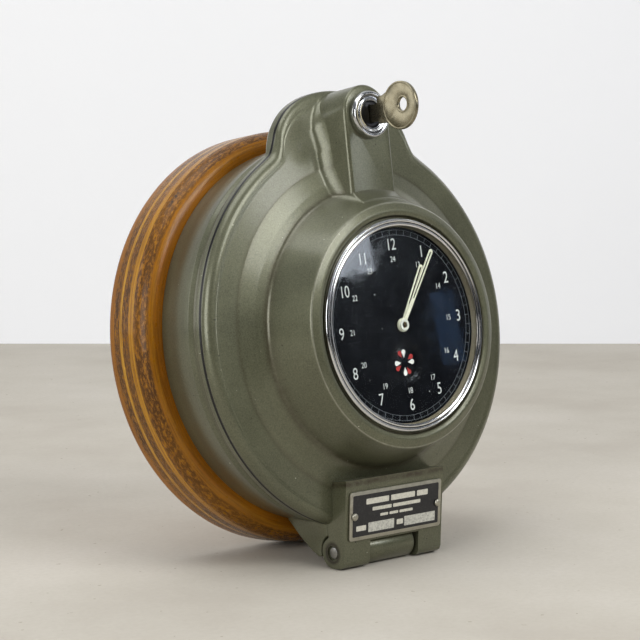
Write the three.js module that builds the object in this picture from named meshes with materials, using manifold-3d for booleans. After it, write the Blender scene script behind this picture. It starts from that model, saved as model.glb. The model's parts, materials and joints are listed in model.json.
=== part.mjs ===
// A round time recorder clock: a steel case with a hinged, key-locked front cover that carries
// the dial and the movement, screwed to a laminated wood board.
//
// Units are millimetres. Inside the case group X runs to the right of the dial, Y from the dial
// to the back and Z up the dial. Its origin is on the dial axis, in the bezel's front plane.
// The whole case leans back, resting on its hinge ears and on the board's lower back edge.
import * as THREE from 'three';
import { mergeVertices } from 'three/addons/utils/BufferGeometryUtils.js';
import Module from 'manifold-3d';

const wasm = await Module();
wasm.setup();

// ---------------------------------------------------------------- driving dimensions

const GAP = 0.3;                     // clearance between pieces that touch
const WALL = 2.8;                    // wall of the cover and the rear case
const FINE = 40;                     // segments round the case
const MEDIUM = 20;                   // segments round middle-sized pieces
const SMALL = 10;                    // segments round screws, arbors and pins

const SEAM_Y = 34.2;                 // back edge of the cover
const CASE_Y = 34.6;                 // front edge of the rear case
const CASE_BACK_Y = 68.5;
const CASE_FLOOR_Y = 65.7;           // inside face of the rear case's back
const RIM_RADIUS = 95.6;

const BOARD_RADIUS = 102.3;
const BOARD_FRONT_Y = CASE_BACK_Y + GAP;
const BOARD_BACK_Y = 99;
const BOARD_FRONT_ROUND = 9;
const BOARD_BACK_ROUND = 4.5;
const BOARD_SCREW_RADIUS = 70;       // distance of the board screws from the centre

const BEZEL_RADIUS = 50;
const SKIRT_RADIUS = 49.1;
const SKIRT_INNER = 47.9;
const GLASS_FRONT_Y = 0.5;
const GLASS_BACK_Y = 1.65;
const DIAL_Y = 4.3;
const DIAL_BACK_Y = 5.1;
const DIAL_TURN = THREE.MathUtils.degToRad(3);   // the dial sits a little anticlockwise
const INDICATOR_DROP = 17.7;         // running indicator below the centre

const MINUTE_ANGLE = THREE.MathUtils.degToRad(33.5);
const HOUR_ANGLE = THREE.MathUtils.degToRad(30);
const MINUTE_REACH = 41.5;
const HOUR_REACH = 32;
const MINUTE_HAND_Y = 2.75;
const HOUR_HAND_Y = 3.45;
const HAND_THICKNESS = 0.4;
const HUB_RADIUS = 3.2;
const NUT_FRONT_Y = 1.95;
const NUT_BACK_Y = 2.45;
const INDICATOR_Y = 5.8;

const TOWER_FRONT_Y = 13.7;
const TOWER_HALF_WIDTH = 13.8;
const TOWER_FLARE = 0.27;            // half-width gained for each millimetre back
const TOWER_TOP_Z = 115.6;
const LOCK_Z = 100.9;
const LOCK_COLLAR_RADIUS = 11.25;
const LOCK_BARREL_RADIUS = 9.2;
const PLUG_RADIUS = 6.2;
const KEY_THICKNESS = 2;

const PIN_Y = 32.1;
const PIN_Z = -103.8;
const PIN_RADIUS = 2.7;
const EAR_RADIUS = 7.6;
const EAR_OUTER_X = 31.7;
const KNUCKLE_LEFT_X = -15;
const KNUCKLE_RIGHT_X = 14.3;
const CUTOUT_LEFT_X = -15.3;
const CUTOUT_RIGHT_X = 16.4;

const PLATE_SLOPE = 0.18;            // the hinge block's front runs back as it goes down
const PLATE_TOP_Z = -75.4;
const PLATE_TOP_Y = 18.7;
const PLATE_HEIGHT = 23.2;
const PLATE_WIDTH = 59.3;

const FRONT_PLATE_Y = 12;            // movement plates
const FRONT_PLATE_BACK_Y = 13.4;
const BACK_PLATE_Y = 25;
const BACK_PLATE_BACK_Y = 26.4;
const FRONT_PLATE_RADIUS = 55.5;
const BACK_PLATE_RADIUS = 48;
const BOSS_RADIUS = 52.7;            // distance of the cover's screw bosses from the centre
const PILLAR_RADIUS = 41;

const CHART_Y = 32.5;
const CHART_RADIUS = 61.5;
const PENDULUM_Z = 46;
const WEIGHT_Z = -12;
const ARM_Y = 50;
const ARM_BACK_Y = 52.5;

// ---------------------------------------------------------------- finishes

function finish(color, roughness, metalness) {
  return () => new THREE.MeshStandardMaterial({ color, roughness, metalness });
}

const paint = finish(0x5d6152, 0.45, 0.3);
const wood = finish(0x9a6a34, 0.5, 0);
const chrome = finish(0xd8d8d8, 0.12, 1);
const steel = finish(0xa9abab, 0.35, 1);
const brass = finish(0xb99a56, 0.35, 1);
const keyMetal = finish(0x8d8358, 0.4, 1);
const dialBlack = finish(0x15151a, 0.4, 0);
const clearGlass = finish(0xdfe6e6, 0.05, 0);
const handCream = finish(0xdcd8c4, 0.5, 0);
const indicatorWhite = finish(0xe4e0d6, 0.5, 0);
const aluminium = finish(0xbfc0bb, 0.4, 1);
const chartPaper = finish(0xe9e4d4, 0.9, 0);

// ---------------------------------------------------------------- solids

// Merges shared corners, drops collapsed triangles and turns the faces outward.
function weld(geometry) {
  const plain = geometry.clone();
  plain.deleteAttribute('normal');
  plain.deleteAttribute('uv');
  const merged = mergeVertices(plain, 1e-4);
  const source = merged.index.array;
  const kept = [];
  for (let i = 0; i < source.length; i += 3) {
    const [a, b, c] = source.subarray(i, i + 3);
    if (a !== b && b !== c && a !== c) {
      kept.push(a, b, c);
    }
  }
  merged.setIndex(signedVolume(merged, kept) < 0 ? kept.reverse() : kept);
  return merged;
}

function signedVolume(geometry, index) {
  const position = geometry.attributes.position;
  const corner = (i) => new THREE.Vector3().fromBufferAttribute(position, index[i]);
  let volume = 0;
  for (let i = 0; i < index.length; i += 3) {
    volume += corner(i).dot(corner(i + 1).cross(corner(i + 2))) / 6;
  }
  return volume;
}

function toSolid(geometry) {
  const vertProperties = new Float32Array(geometry.attributes.position.array);
  const triVerts = new Uint32Array(geometry.index.array);
  return new wasm.Manifold(new wasm.Mesh({ numProp: 3, vertProperties, triVerts }));
}

function toGeometry(solid) {
  const { vertProperties, triVerts } = solid.getMesh();
  const geometry = new THREE.BufferGeometry();
  geometry.setAttribute('position', new THREE.BufferAttribute(vertProperties, 3));
  geometry.setIndex(new THREE.BufferAttribute(triVerts, 1));
  return geometry;
}

function join(...geometries) {
  return toGeometry(geometries.map(toSolid).reduce((whole, next) => whole.add(next)));
}

function cut(geometry, ...tools) {
  return toGeometry(tools.map(toSolid).reduce((whole, tool) => whole.subtract(tool), toSolid(geometry)));
}

// A body turned about Y from [radius, y] points that start and end on the axis.
function turned(profile, segments) {
  return weld(new THREE.LatheGeometry(profile.map(([r, y]) => new THREE.Vector2(r, y)), segments));
}

// A ring turned about Y from a closed loop of [radius, y] points.
function ring(profile, segments) {
  return turned([...profile, profile[0]], segments);
}

function rod(radius, y0, y1, x = 0, z = 0, segments = SMALL) {
  const body = turned([[0, y0], [radius, y0], [radius, y1], [0, y1]], segments);
  return body.translate(x, 0, z);
}

function tube(inner, outer, y0, y1, x = 0, z = 0, segments = SMALL) {
  const body = ring([[inner, y0], [outer, y0], [outer, y1], [inner, y1]], segments);
  return body.translate(x, 0, z);
}

function box(x0, x1, y0, y1, z0, z1) {
  const body = new THREE.BoxGeometry(x1 - x0, y1 - y0, z1 - z0);
  return weld(body.translate((x0 + x1) / 2, (y0 + y1) / 2, (z0 + z1) / 2));
}

function polygon(points) {
  return new THREE.Shape(points.map(([u, v]) => new THREE.Vector2(u, v)));
}

function roundHole(shape, u, v, radius) {
  shape.holes.push(new THREE.Path().absarc(u, v, radius, 0, 2 * Math.PI, true));
}

// An outline drawn in X and Z, carried along Y from y0 to y1.
function slab(shape, y0, y1, curveSegments = 8) {
  const body = new THREE.ExtrudeGeometry(shape, { depth: y1 - y0, bevelEnabled: false, curveSegments });
  return weld(body.rotateX(Math.PI / 2).translate(0, y1, 0));
}

// An outline drawn in Y and Z, carried along X from x0 to x1.
function beam(shape, x0, x1, curveSegments = 8) {
  const body = new THREE.ExtrudeGeometry(shape, { depth: x1 - x0, bevelEnabled: false, curveSegments });
  const turn = new THREE.Matrix4().makeBasis(
    new THREE.Vector3(0, 1, 0), new THREE.Vector3(0, 0, 1), new THREE.Vector3(1, 0, 0));
  return weld(body.applyMatrix4(turn).translate(x0, 0, 0));
}

// A skin over rings of [x, y, z] corners, closed at both ends.
function loft(rings) {
  const count = rings[0].length;
  const corners = rings.flat();
  const index = [];
  for (let level = 0; level < rings.length - 1; level += 1) {
    for (let i = 0; i < count; i += 1) {
      const next = (i + 1) % count;
      const low = level * count;
      const high = low + count;
      index.push(low + i, low + next, high + next, low + i, high + next, high + i);
    }
  }
  for (const [start, flip] of [[0, true], [(rings.length - 1) * count, false]]) {
    const middle = corners.length;
    const last = rings[start / count];
    corners.push([0, 1, 2].map((axis) => last.reduce((sum, corner) => sum + corner[axis], 0) / count));
    for (let i = 0; i < count; i += 1) {
      const pair = [start + i, start + (i + 1) % count];
      index.push(middle, ...(flip ? pair.reverse() : pair));
    }
  }
  const geometry = new THREE.BufferGeometry();
  geometry.setAttribute('position', new THREE.Float32BufferAttribute(corners.flat(), 3));
  geometry.setIndex(index);
  return weld(geometry);
}

function arcPoints(u, v, radius, from, to, steps) {
  const points = [];
  for (let i = 0; i <= steps; i += 1) {
    const angle = THREE.MathUtils.degToRad(from + (to - from) * i / steps);
    points.push([u + radius * Math.cos(angle), v + radius * Math.sin(angle)]);
  }
  return points;
}

// Moves an anticlockwise outline inward by a distance.
function inset(outline, distance) {
  return outline.map(([u, v], i) => {
    const [pu, pv] = outline.at(i - 1);
    const [nu, nv] = outline[(i + 1) % outline.length];
    const length = Math.hypot(nu - pu, nv - pv);
    return [u - distance * (nv - pv) / length, v + distance * (nu - pu) / length];
  });
}

// ---------------------------------------------------------------- case

const caseGroup = new THREE.Group();

function place(name, geometry, material) {
  const mesh = new THREE.Mesh(geometry, material());
  mesh.name = name;
  caseGroup.add(mesh);
  return mesh;
}

// Half-outline of the lock lobe on the rim, from its top to where it runs into the round case.
const LOBE_POINTS = [
  [0, TOWER_TOP_Z], [12, 114.9], [23.3, 111.7], [33.3, 105.7],
  [39.9, 97.6], [42.6, 90.5], [44.8, 85.2], [50.4, 81.3],
];

function lobeOutline() {
  const curve = new THREE.SplineCurve(LOBE_POINTS.map(([x, z]) => new THREE.Vector2(x, z)));
  const right = curve.getPoints(9).map((point) => [point.x, point.y]);
  right.push([44, 72]);
  const left = right.slice(1).map(([x, z]) => [-x, z]);
  return [...right.reverse(), ...left];
}

// The cover's flange and lobe share one gently dished front surface.
function flangeY(x, z) {
  return 29 + 0.13 * (Math.hypot(x, z) - 88);
}

function lobeRing(outline, depthOf) {
  return outline.map(([x, z]) => [x, depthOf(x, z), z]);
}

function coverLobe(shrink, lift, backY) {
  const outer = inset(lobeOutline(), shrink);
  const inner = inset(lobeOutline(), shrink + 3.2);
  return loft([
    lobeRing(inner, (x, z) => flangeY(x, z) + lift),
    lobeRing(outer, (x, z) => Math.min(flangeY(x, z) + lift + 2.4, backY - 0.2)),
    lobeRing(outer, () => backY),
  ]);
}

function towerRing(y, shrink) {
  const half = TOWER_HALF_WIDTH + TOWER_FLARE * (y - TOWER_FRONT_Y) - shrink;
  const top = TOWER_TOP_Z - 0.03 * (y - TOWER_FRONT_Y) - shrink;
  const outline = [[half, 56], ...arcPoints(0, top - half, half, 0, 180, 12), [-half, 56]];
  return outline.map(([x, z]) => [x, y, z]);
}

const COVER_OUTER = [
  [51.2, 2.3], [51.6, 1.1], [52.6, 0.25], [53.8, 0], [56, 0.6], [57.9, 1.5], [58.6, 3.2], [62.6, 13.4],
  [65.3, 20.3], [66.4, 22.4], [68.2, 23.7], [78, 27.6], [80.5, 28.35], [90, 29],
  ...arcPoints(90.4, SEAM_Y, 5.2, -80, 0, 3),
];
const COVER_INNER = [
  [56.2, 5.2], [62.6, 21.6], [64.6, 25], [67.5, 26.6], [78.5, 31], [90.5, 31.8], [92.5, 33],
];

function hingeBlock() {
  const slope = (z) => PLATE_TOP_Y + PLATE_SLOPE * (PLATE_TOP_Z - z);
  const outline = [
    [SEAM_Y, -62],
    [slope(-62), -62],
    [slope(-110.2), -110.2],
    [slope(-110.2) + 1.2, PIN_Z - EAR_RADIUS],
    ...arcPoints(PIN_Y, PIN_Z, EAR_RADIUS, -90, 74, 10),
  ];
  return beam(polygon(outline), -EAR_OUTER_X, EAR_OUTER_X);
}

function pinCylinder(radius, x0, x1, segments = SMALL) {
  return beam(polygon(arcPoints(PIN_Y, PIN_Z, radius, 0, 360 - 360 / segments, segments - 1)), x0, x1);
}

// Three bosses inside the cover take the movement's screws.
const BOSS_PLACES = [60, 180, 300].map((degrees) => {
  const angle = THREE.MathUtils.degToRad(degrees);
  return [BOSS_RADIUS * Math.cos(angle), BOSS_RADIUS * Math.sin(angle)];
});

const RIVET_X = 27;
const RIVET_Z = PLATE_TOP_Z - PLATE_HEIGHT / 2;

// Turns a piece made square to Y at the plate's centre onto the hinge block's sloping front.
function ontoSlope(geometry) {
  const middleY = PLATE_TOP_Y + PLATE_SLOPE * PLATE_HEIGHT / 2;
  return geometry.rotateX(Math.atan(PLATE_SLOPE)).translate(0, middleY, RIVET_Z);
}

function frontCover() {
  const body = turned([[0, 2.3], ...COVER_OUTER, [0, SEAM_Y]], FINE);
  const tower = loft([
    towerRing(TOWER_FRONT_Y, 0.8),
    towerRing(TOWER_FRONT_Y + 0.8, 0),
    towerRing(SEAM_Y, 0),
  ]);
  const outside = join(body, tower, coverLobe(0, -0.05, SEAM_Y), hingeBlock());
  const hollow = turned([[0, 5.2], ...COVER_INNER, [92.8, SEAM_Y + 1], [0, SEAM_Y + 1]], FINE);
  const towerHollow = loft([towerRing(TOWER_FRONT_Y + WALL, WALL), towerRing(SEAM_Y + 1, WALL)]);
  const shell = cut(outside, hollow, towerHollow, coverLobe(WALL, WALL, SEAM_Y + 1));
  const bosses = BOSS_PLACES.map(([x, z]) => rod(2.6, 4.2, FRONT_PLATE_Y - GAP, x, z));
  const bossHoles = BOSS_PLACES.map(([x, z]) => rod(1.5, 7, FRONT_PLATE_Y, x, z));
  const rivetHoles = [-RIVET_X, RIVET_X].map((x) => ontoSlope(rod(1.3, -3, 5, x, 0)));
  return cut(
    join(shell, ...bosses),
    rod(SKIRT_RADIUS + GAP, -2, 6, 0, 0, FINE),
    rod(LOCK_BARREL_RADIUS + GAP, TOWER_FRONT_Y - 2, TOWER_FRONT_Y + WALL + 2, 0, LOCK_Z, MEDIUM),
    pinCylinder(PIN_RADIUS + GAP, -40, 40),
    pinCylinder(3.7, -40, -EAR_OUTER_X + 0.8),
    pinCylinder(3.7, EAR_OUTER_X - 0.8, 40),
    pinCylinder(EAR_RADIUS + 0.7, CUTOUT_LEFT_X, CUTOUT_RIGHT_X, 24),
    box(CUTOUT_LEFT_X, CUTOUT_RIGHT_X, 18, 45, -113, -99.6),
    ...bossHoles,
    ...rivetHoles,
  );
}

const CASE_OUTER = [
  [RIM_RADIUS, CASE_Y], [RIM_RADIUS, 37.4], [94.7, 38.6], [93.3, 40.2], [93.4, 42.4], [94.4, 45], [94.2, 48],
  [92, CASE_BACK_Y],
];
const CASE_INNER = [
  [0, CASE_Y - 1], [92.8, CASE_Y - 1], [92.6, 38], [90.5, 41], [90.8, 47], [89.2, 62.5],
  [86.5, CASE_FLOOR_Y], [0, CASE_FLOOR_Y],
];
const LOBE_BACK_Y = 40.2;

function rearLobe(shrink, frontY, backY) {
  const outline = inset(lobeOutline(), shrink);
  const rounded = inset(lobeOutline(), shrink + 1.4);
  return loft([
    lobeRing(outline, () => frontY),
    lobeRing(outline, () => backY - 1.4),
    lobeRing(rounded, () => backY),
  ]);
}

// The gusset behind the cover's ears, hollowed round them so that they can turn.
function hingeLug() {
  const outline = [
    [CASE_Y, -80],
    ...arcPoints(PIN_Y, PIN_Z, EAR_RADIUS + 0.9, 73, -12, 8),
    [42.9, -105.7],
    [48.2, -102],
    [54.8, -96.4],
    [62.6, -88.3],
    [66, -80],
  ];
  return beam(polygon(outline), -EAR_OUTER_X, EAR_OUTER_X);
}

function knuckleBridge() {
  const outline = [[CASE_Y, -88], [CASE_Y, PIN_Z], [39.6, PIN_Z], [42.6, -105.4], [50, -95]];
  return beam(polygon(outline), KNUCKLE_LEFT_X, KNUCKLE_RIGHT_X);
}

const BOARD_SCREW_PLACES = [35, 145, 215, 325].map((degrees) => {
  const angle = THREE.MathUtils.degToRad(degrees);
  return [BOARD_SCREW_RADIUS * Math.cos(angle), BOARD_SCREW_RADIUS * Math.sin(angle)];
});

function rearCase() {
  const body = turned([[0, CASE_Y], ...CASE_OUTER, [0, CASE_BACK_Y]], FINE);
  const knuckle = pinCylinder(EAR_RADIUS - 0.1, KNUCKLE_LEFT_X, KNUCKLE_RIGHT_X, 20);
  const outside = join(body, rearLobe(0, CASE_Y, LOBE_BACK_Y), hingeLug(), knuckleBridge(), knuckle);
  return cut(
    outside,
    turned(CASE_INNER, FINE),
    rearLobe(WALL, CASE_Y - 1, LOBE_BACK_Y - 2),
    pinCylinder(PIN_RADIUS + GAP, -40, 40),
    ...BOARD_SCREW_PLACES.map(([x, z]) => rod(2.3, 60, 72, x, z)),
  );
}

function woodBoard() {
  const front = arcPoints(BOARD_RADIUS - BOARD_FRONT_ROUND, BOARD_FRONT_Y + BOARD_FRONT_ROUND,
    BOARD_FRONT_ROUND, -90, 0, 3);
  const back = arcPoints(BOARD_RADIUS - BOARD_BACK_ROUND, BOARD_BACK_Y - BOARD_BACK_ROUND,
    BOARD_BACK_ROUND, 0, 90, 2);
  const disc = turned([[0, BOARD_FRONT_Y], ...front, ...back, [0, BOARD_BACK_Y]], FINE);
  return cut(disc, ...BOARD_SCREW_PLACES.map(([x, z]) => rod(2.1, 60, 86, x, z)));
}

// A plain domed screw along Y: the head faces the dial side and the shank runs back from it.
function screw(x, z, headFrontY, headDepth, headRadius, shankRadius, shankLength) {
  const profile = [
    [0, headFrontY],
    [headRadius * 0.6, headFrontY],
    [headRadius, headFrontY + headDepth * 0.5],
    [headRadius, headFrontY + headDepth],
    [shankRadius, headFrontY + headDepth],
    [shankRadius, headFrontY + headDepth + shankLength],
    [0, headFrontY + headDepth + shankLength],
  ];
  return turned(profile, SMALL).translate(x, 0, z);
}

// The same screw driven in from behind, with its head towards the back.
function backScrew(x, z, headBackY, headDepth, headRadius, shankRadius, shankLength) {
  return screw(0, 0, -headBackY, headDepth, headRadius, shankRadius, shankLength)
    .rotateX(Math.PI)
    .translate(x, 0, z);
}

place('wood_board', woodBoard(), wood);
place('rear_case', rearCase(), paint);
place('front_cover', frontCover(), paint);
place('hinge_pin', pinCylinder(PIN_RADIUS, -EAR_OUTER_X + 0.5, EAR_OUTER_X - 0.5), steel);
BOARD_SCREW_PLACES.forEach(([x, z], i) => {
  place(`board_screw_${i + 1}`, screw(x, z, 62.6, 2.8, 4.4, 1.8, 20), steel);
});

// ---------------------------------------------------------------- nameplate

function nameplate() {
  const half = PLATE_WIDTH / 2;
  const shape = polygon([
    [-half, -PLATE_HEIGHT / 2],
    [half, -PLATE_HEIGHT / 2],
    [half, PLATE_HEIGHT / 2],
    [-half, PLATE_HEIGHT / 2],
  ]);
  roundHole(shape, -RIVET_X, 0, 1.3);
  roundHole(shape, RIVET_X, 0, 1.3);
  return ontoSlope(slab(shape, -GAP - 0.8, -GAP, 6));
}

function rivet(x) {
  const dome = arcPoints(0, -GAP - 0.8 - GAP, 1.2, -90, 0, 3).map(([r, y]) => [r * 1.6, y]);
  const body = turned([...dome, [1, -GAP - 0.8 - GAP], [1, 3.5], [0, 3.5]], SMALL);
  return ontoSlope(body.translate(x, 0, 0));
}

place('nameplate', nameplate(), aluminium);
place('nameplate_rivet_left', rivet(-RIVET_X), aluminium);
place('nameplate_rivet_right', rivet(RIVET_X), aluminium);

// ---------------------------------------------------------------- dial

function bezelRing() {
  return ring([
    [46.6, -0.1], [47.5, -0.1], [48.8, -0.2], [BEZEL_RADIUS, 0.6], [BEZEL_RADIUS, 2], [SKIRT_RADIUS, 2],
    [SKIRT_RADIUS, 8.6], [SKIRT_INNER, 8.6], [SKIRT_INNER, 0.2], [46.6, 0.2],
  ], FINE);
}

const INDICATOR_X = INDICATOR_DROP * Math.sin(DIAL_TURN);
const INDICATOR_Z = -INDICATOR_DROP * Math.cos(DIAL_TURN);
const DISH_RADIUS = 10.9;
const DISH_DEPTH = 0.6;
const DISH_THICKNESS = 0.6;
const WINDOW_RADIUS = 7.6;
const DIAL_FOOT_X = 38;

function dialPlate() {
  const feet = [-DIAL_FOOT_X, DIAL_FOOT_X].map((x) => rod(1.5, DIAL_Y + 0.4, FRONT_PLATE_Y - GAP, x, 8, 8));
  return cut(
    join(rod(SKIRT_INNER - GAP, DIAL_Y, DIAL_BACK_Y, 0, 0, FINE), ...feet),
    rod(2.9, 4, 8),
    rod(DISH_RADIUS, 4, 8, INDICATOR_X, INDICATOR_Z, MEDIUM),
  );
}

function indicatorDish() {
  const rim = DISH_RADIUS - GAP;
  const floorY = DIAL_Y + DISH_DEPTH;
  const profile = [
    [rim, DIAL_Y],
    [rim, DIAL_Y + DISH_THICKNESS],
    [WINDOW_RADIUS, floorY + DISH_THICKNESS],
    [WINDOW_RADIUS, floorY],
  ];
  return ring(profile, MEDIUM).translate(INDICATOR_X, 0, INDICATOR_Z);
}

function indicatorWheel() {
  const face = rod(9.4, INDICATOR_Y, INDICATOR_Y + 0.6, INDICATOR_X, INDICATOR_Z, 24);
  return join(face, rod(0.8, INDICATOR_Y + 0.3, FRONT_PLATE_Y - GAP, INDICATOR_X, INDICATOR_Z, 8));
}

// A parallel bar with a round tip, growing out of a round hub along +Z.
function handShape(reach, halfWidth, hubRadius) {
  const shape = new THREE.Shape();
  const side = Math.acos(halfWidth / hubRadius);
  const tip = halfWidth * 1.25;
  shape.absarc(0, 0, hubRadius, Math.PI - side, 2 * Math.PI + side, false);
  shape.lineTo(tip, reach - tip);
  shape.absarc(0, reach - tip, tip, 0, Math.PI, false);
  return shape;
}

function hand(reach, halfWidth, holeRadius, frontY, angle) {
  const shape = handShape(reach, halfWidth, HUB_RADIUS);
  roundHole(shape, 0, 0, holeRadius);
  return slab(shape, frontY, frontY + HAND_THICKNESS, 6).rotateY(angle);
}

place('bezel_ring', bezelRing(), chrome);
place('dial_glass', rod(SKIRT_INNER - GAP, GLASS_FRONT_Y, GLASS_BACK_Y, 0, 0, FINE), clearGlass);
place('dial_spacer', tube(46.8, SKIRT_INNER - GAP, GLASS_BACK_Y + GAP, DIAL_Y - GAP, 0, 0, FINE), steel);
place('dial_plate', dialPlate(), dialBlack);
place('indicator_dish', indicatorDish(), dialBlack);
place('indicator_wheel', indicatorWheel(), indicatorWhite);
place('hour_hand', hand(HOUR_REACH, 1.05, 2.7, HOUR_HAND_Y, HOUR_ANGLE), handCream);
place('minute_hand', hand(MINUTE_REACH, 0.9, 1.6, MINUTE_HAND_Y, MINUTE_ANGLE), handCream);
place('hand_nut', tube(1.5, 2.8, NUT_FRONT_Y, NUT_BACK_Y, 0, 0, 18), steel);

// ---------------------------------------------------------------- wheels

const TOOTH_ROOT = 0.26;             // half-width of a tooth's root, in tooth pitches

// A toothed outline with one tooth centred on the phase angle.
function gearShape(teeth, pitchRadius, phase) {
  const size = 2 * pitchRadius / teeth;
  const tip = pitchRadius + 0.7 * size;
  const root = pitchRadius - 1.1 * size;
  const pitch = 2 * Math.PI / teeth;
  const points = [];
  for (let i = 0; i < teeth; i += 1) {
    for (const [radius, offset] of [[root, -TOOTH_ROOT], [tip, 0], [root, TOOTH_ROOT]]) {
      const angle = phase + (i + offset) * pitch;
      points.push([radius * Math.cos(angle), radius * Math.sin(angle)]);
    }
  }
  return polygon(points);
}

function gear(teeth, pitchRadius, phase, y0, y1, x = 0, z = 0) {
  return slab(gearShape(teeth, pitchRadius, phase), y0, y1).translate(x, 0, z);
}

const ARBOR_Y = FRONT_PLATE_BACK_Y + GAP;
const ARBOR_BACK_Y = BACK_PLATE_Y - GAP;
const ARBOR_RADIUS = 0.9;

const BARREL_TEETH = 40;
const BARREL_PITCH = 14.9;
const CENTRE_PINION_TEETH = 8;
const CENTRE_PINION_PITCH = BARREL_PITCH * CENTRE_PINION_TEETH / BARREL_TEETH;
const BARREL_ANGLE = THREE.MathUtils.degToRad(225);
const BARREL_DISTANCE = BARREL_PITCH + CENTRE_PINION_PITCH;
const BARREL_X = BARREL_DISTANCE * Math.cos(BARREL_ANGLE);
const BARREL_Z = BARREL_DISTANCE * Math.sin(BARREL_ANGLE);

const CENTRE_TEETH = 40;
const CENTRE_PITCH = 12;
const ESCAPE_PINION_TEETH = 8;
const ESCAPE_PINION_PITCH = CENTRE_PITCH * ESCAPE_PINION_TEETH / CENTRE_TEETH;
const ESCAPE_ANGLE = THREE.MathUtils.degToRad(40);
const ESCAPE_DISTANCE = CENTRE_PITCH + ESCAPE_PINION_PITCH;
const ESCAPE_TIP_RADIUS = 7.2;
const PALLET_DISTANCE = ESCAPE_DISTANCE + 9.8;
const BALANCE_DISTANCE = PALLET_DISTANCE + 12;
const BALANCE_RADIUS = 9;

const CANNON_TEETH = 10;
const MINUTE_WHEEL_TEETH = 30;
const MINUTE_PINION_TEETH = 8;
const HOUR_WHEEL_TEETH = 32;
const MOTION_DISTANCE = 12;
const MOTION_ANGLE = THREE.MathUtils.degToRad(200);
const MOTION_X = MOTION_DISTANCE * Math.cos(MOTION_ANGLE);
const MOTION_Z = MOTION_DISTANCE * Math.sin(MOTION_ANGLE);

// Pitch radius of a gear that shares a centre distance with its mate.
function sharedPitch(teeth, mateTeeth, distance) {
  return distance * teeth / (teeth + mateTeeth);
}

function alongEscape(distance) {
  return [distance * Math.cos(ESCAPE_ANGLE), distance * Math.sin(ESCAPE_ANGLE)];
}

function mainspringBarrel() {
  const phase = BARREL_ANGLE + Math.PI + Math.PI / BARREL_TEETH;
  const rim = gear(BARREL_TEETH, BARREL_PITCH, phase, 15, 16.4);
  const drum = rod(13.2, 15, 20.8, 0, 0, MEDIUM);
  return cut(join(rim, drum), rod(1.9, 10, 25)).translate(BARREL_X, 0, BARREL_Z);
}

function centreArbor() {
  const cannonPitch = sharedPitch(CANNON_TEETH, MINUTE_WHEEL_TEETH, MOTION_DISTANCE);
  return join(
    turned([[0, 2], [1.2, 2], [1.2, 10.6], [1.6, 10.6], [1.6, ARBOR_BACK_Y], [0, ARBOR_BACK_Y]], SMALL),
    gear(CANNON_TEETH, cannonPitch, MOTION_ANGLE, 10.4, 11.6),
    gear(CENTRE_PINION_TEETH, CENTRE_PINION_PITCH, BARREL_ANGLE, 14.7, 16.7),
    gear(CENTRE_TEETH, CENTRE_PITCH, ESCAPE_ANGLE, 22, 23),
  );
}

function hourWheel() {
  const pitch = sharedPitch(HOUR_WHEEL_TEETH, MINUTE_PINION_TEETH, MOTION_DISTANCE);
  const wheel = gear(HOUR_WHEEL_TEETH, pitch, MOTION_ANGLE, 9.1, 10);
  return cut(join(wheel, rod(2.4, HOUR_HAND_Y - 0.2, 10)), rod(1.5, 0, 15));
}

function minuteWheel() {
  const wheelPitch = sharedPitch(MINUTE_WHEEL_TEETH, CANNON_TEETH, MOTION_DISTANCE);
  const pinionPitch = sharedPitch(MINUTE_PINION_TEETH, HOUR_WHEEL_TEETH, MOTION_DISTANCE);
  const back = MOTION_ANGLE + Math.PI;
  return join(
    gear(MINUTE_WHEEL_TEETH, wheelPitch, back + Math.PI / MINUTE_WHEEL_TEETH, 10.4, 11.4),
    gear(MINUTE_PINION_TEETH, pinionPitch, back + Math.PI / MINUTE_PINION_TEETH, 9, 10.7),
    rod(ARBOR_RADIUS, 8.6, FRONT_PLATE_Y - GAP),
  ).translate(MOTION_X, 0, MOTION_Z);
}

function escapeWheel() {
  const points = [];
  const teeth = 15;
  for (let i = 0; i < teeth; i += 1) {
    const angle = 2 * Math.PI * i / teeth;
    points.push([ESCAPE_TIP_RADIUS * Math.cos(angle), ESCAPE_TIP_RADIUS * Math.sin(angle)]);
    points.push([5.6 * Math.cos(angle + 0.08), 5.6 * Math.sin(angle + 0.08)]);
    points.push([5.2 * Math.cos(angle + 0.3), 5.2 * Math.sin(angle + 0.3)]);
  }
  const phase = ESCAPE_ANGLE + Math.PI + Math.PI / ESCAPE_PINION_TEETH;
  const [x, z] = alongEscape(ESCAPE_DISTANCE);
  return join(
    slab(polygon(points), 18, 18.9),
    gear(ESCAPE_PINION_TEETH, ESCAPE_PINION_PITCH, phase, 21.6, 23.4),
    rod(ARBOR_RADIUS, ARBOR_Y, ARBOR_BACK_Y),
  ).translate(x, 0, z);
}

// The lever points along +X at the balance; its two arms reach back round the escape wheel.
function palletLever() {
  const shape = polygon([
    [8.3, 0.9], [6.8, 0.9], [6.4, 0.5], [1.6, 0.7], [-0.4, 2.4], [-3, 6.2], [-4, 5.8], [-2.2, 1.4],
    [-1.6, 0], [-2.2, -1.4], [-4, -5.8], [-3, -6.2], [-0.4, -2.4], [1.6, -0.7], [6.4, -0.5], [6.8, -0.9],
    [8.3, -0.9], [7.4, 0],
  ]);
  const [x, z] = alongEscape(PALLET_DISTANCE);
  return join(slab(shape, 18, 18.9), rod(ARBOR_RADIUS, ARBOR_Y, ARBOR_BACK_Y))
    .rotateY(-ESCAPE_ANGLE)
    .translate(x, 0, z);
}

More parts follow.
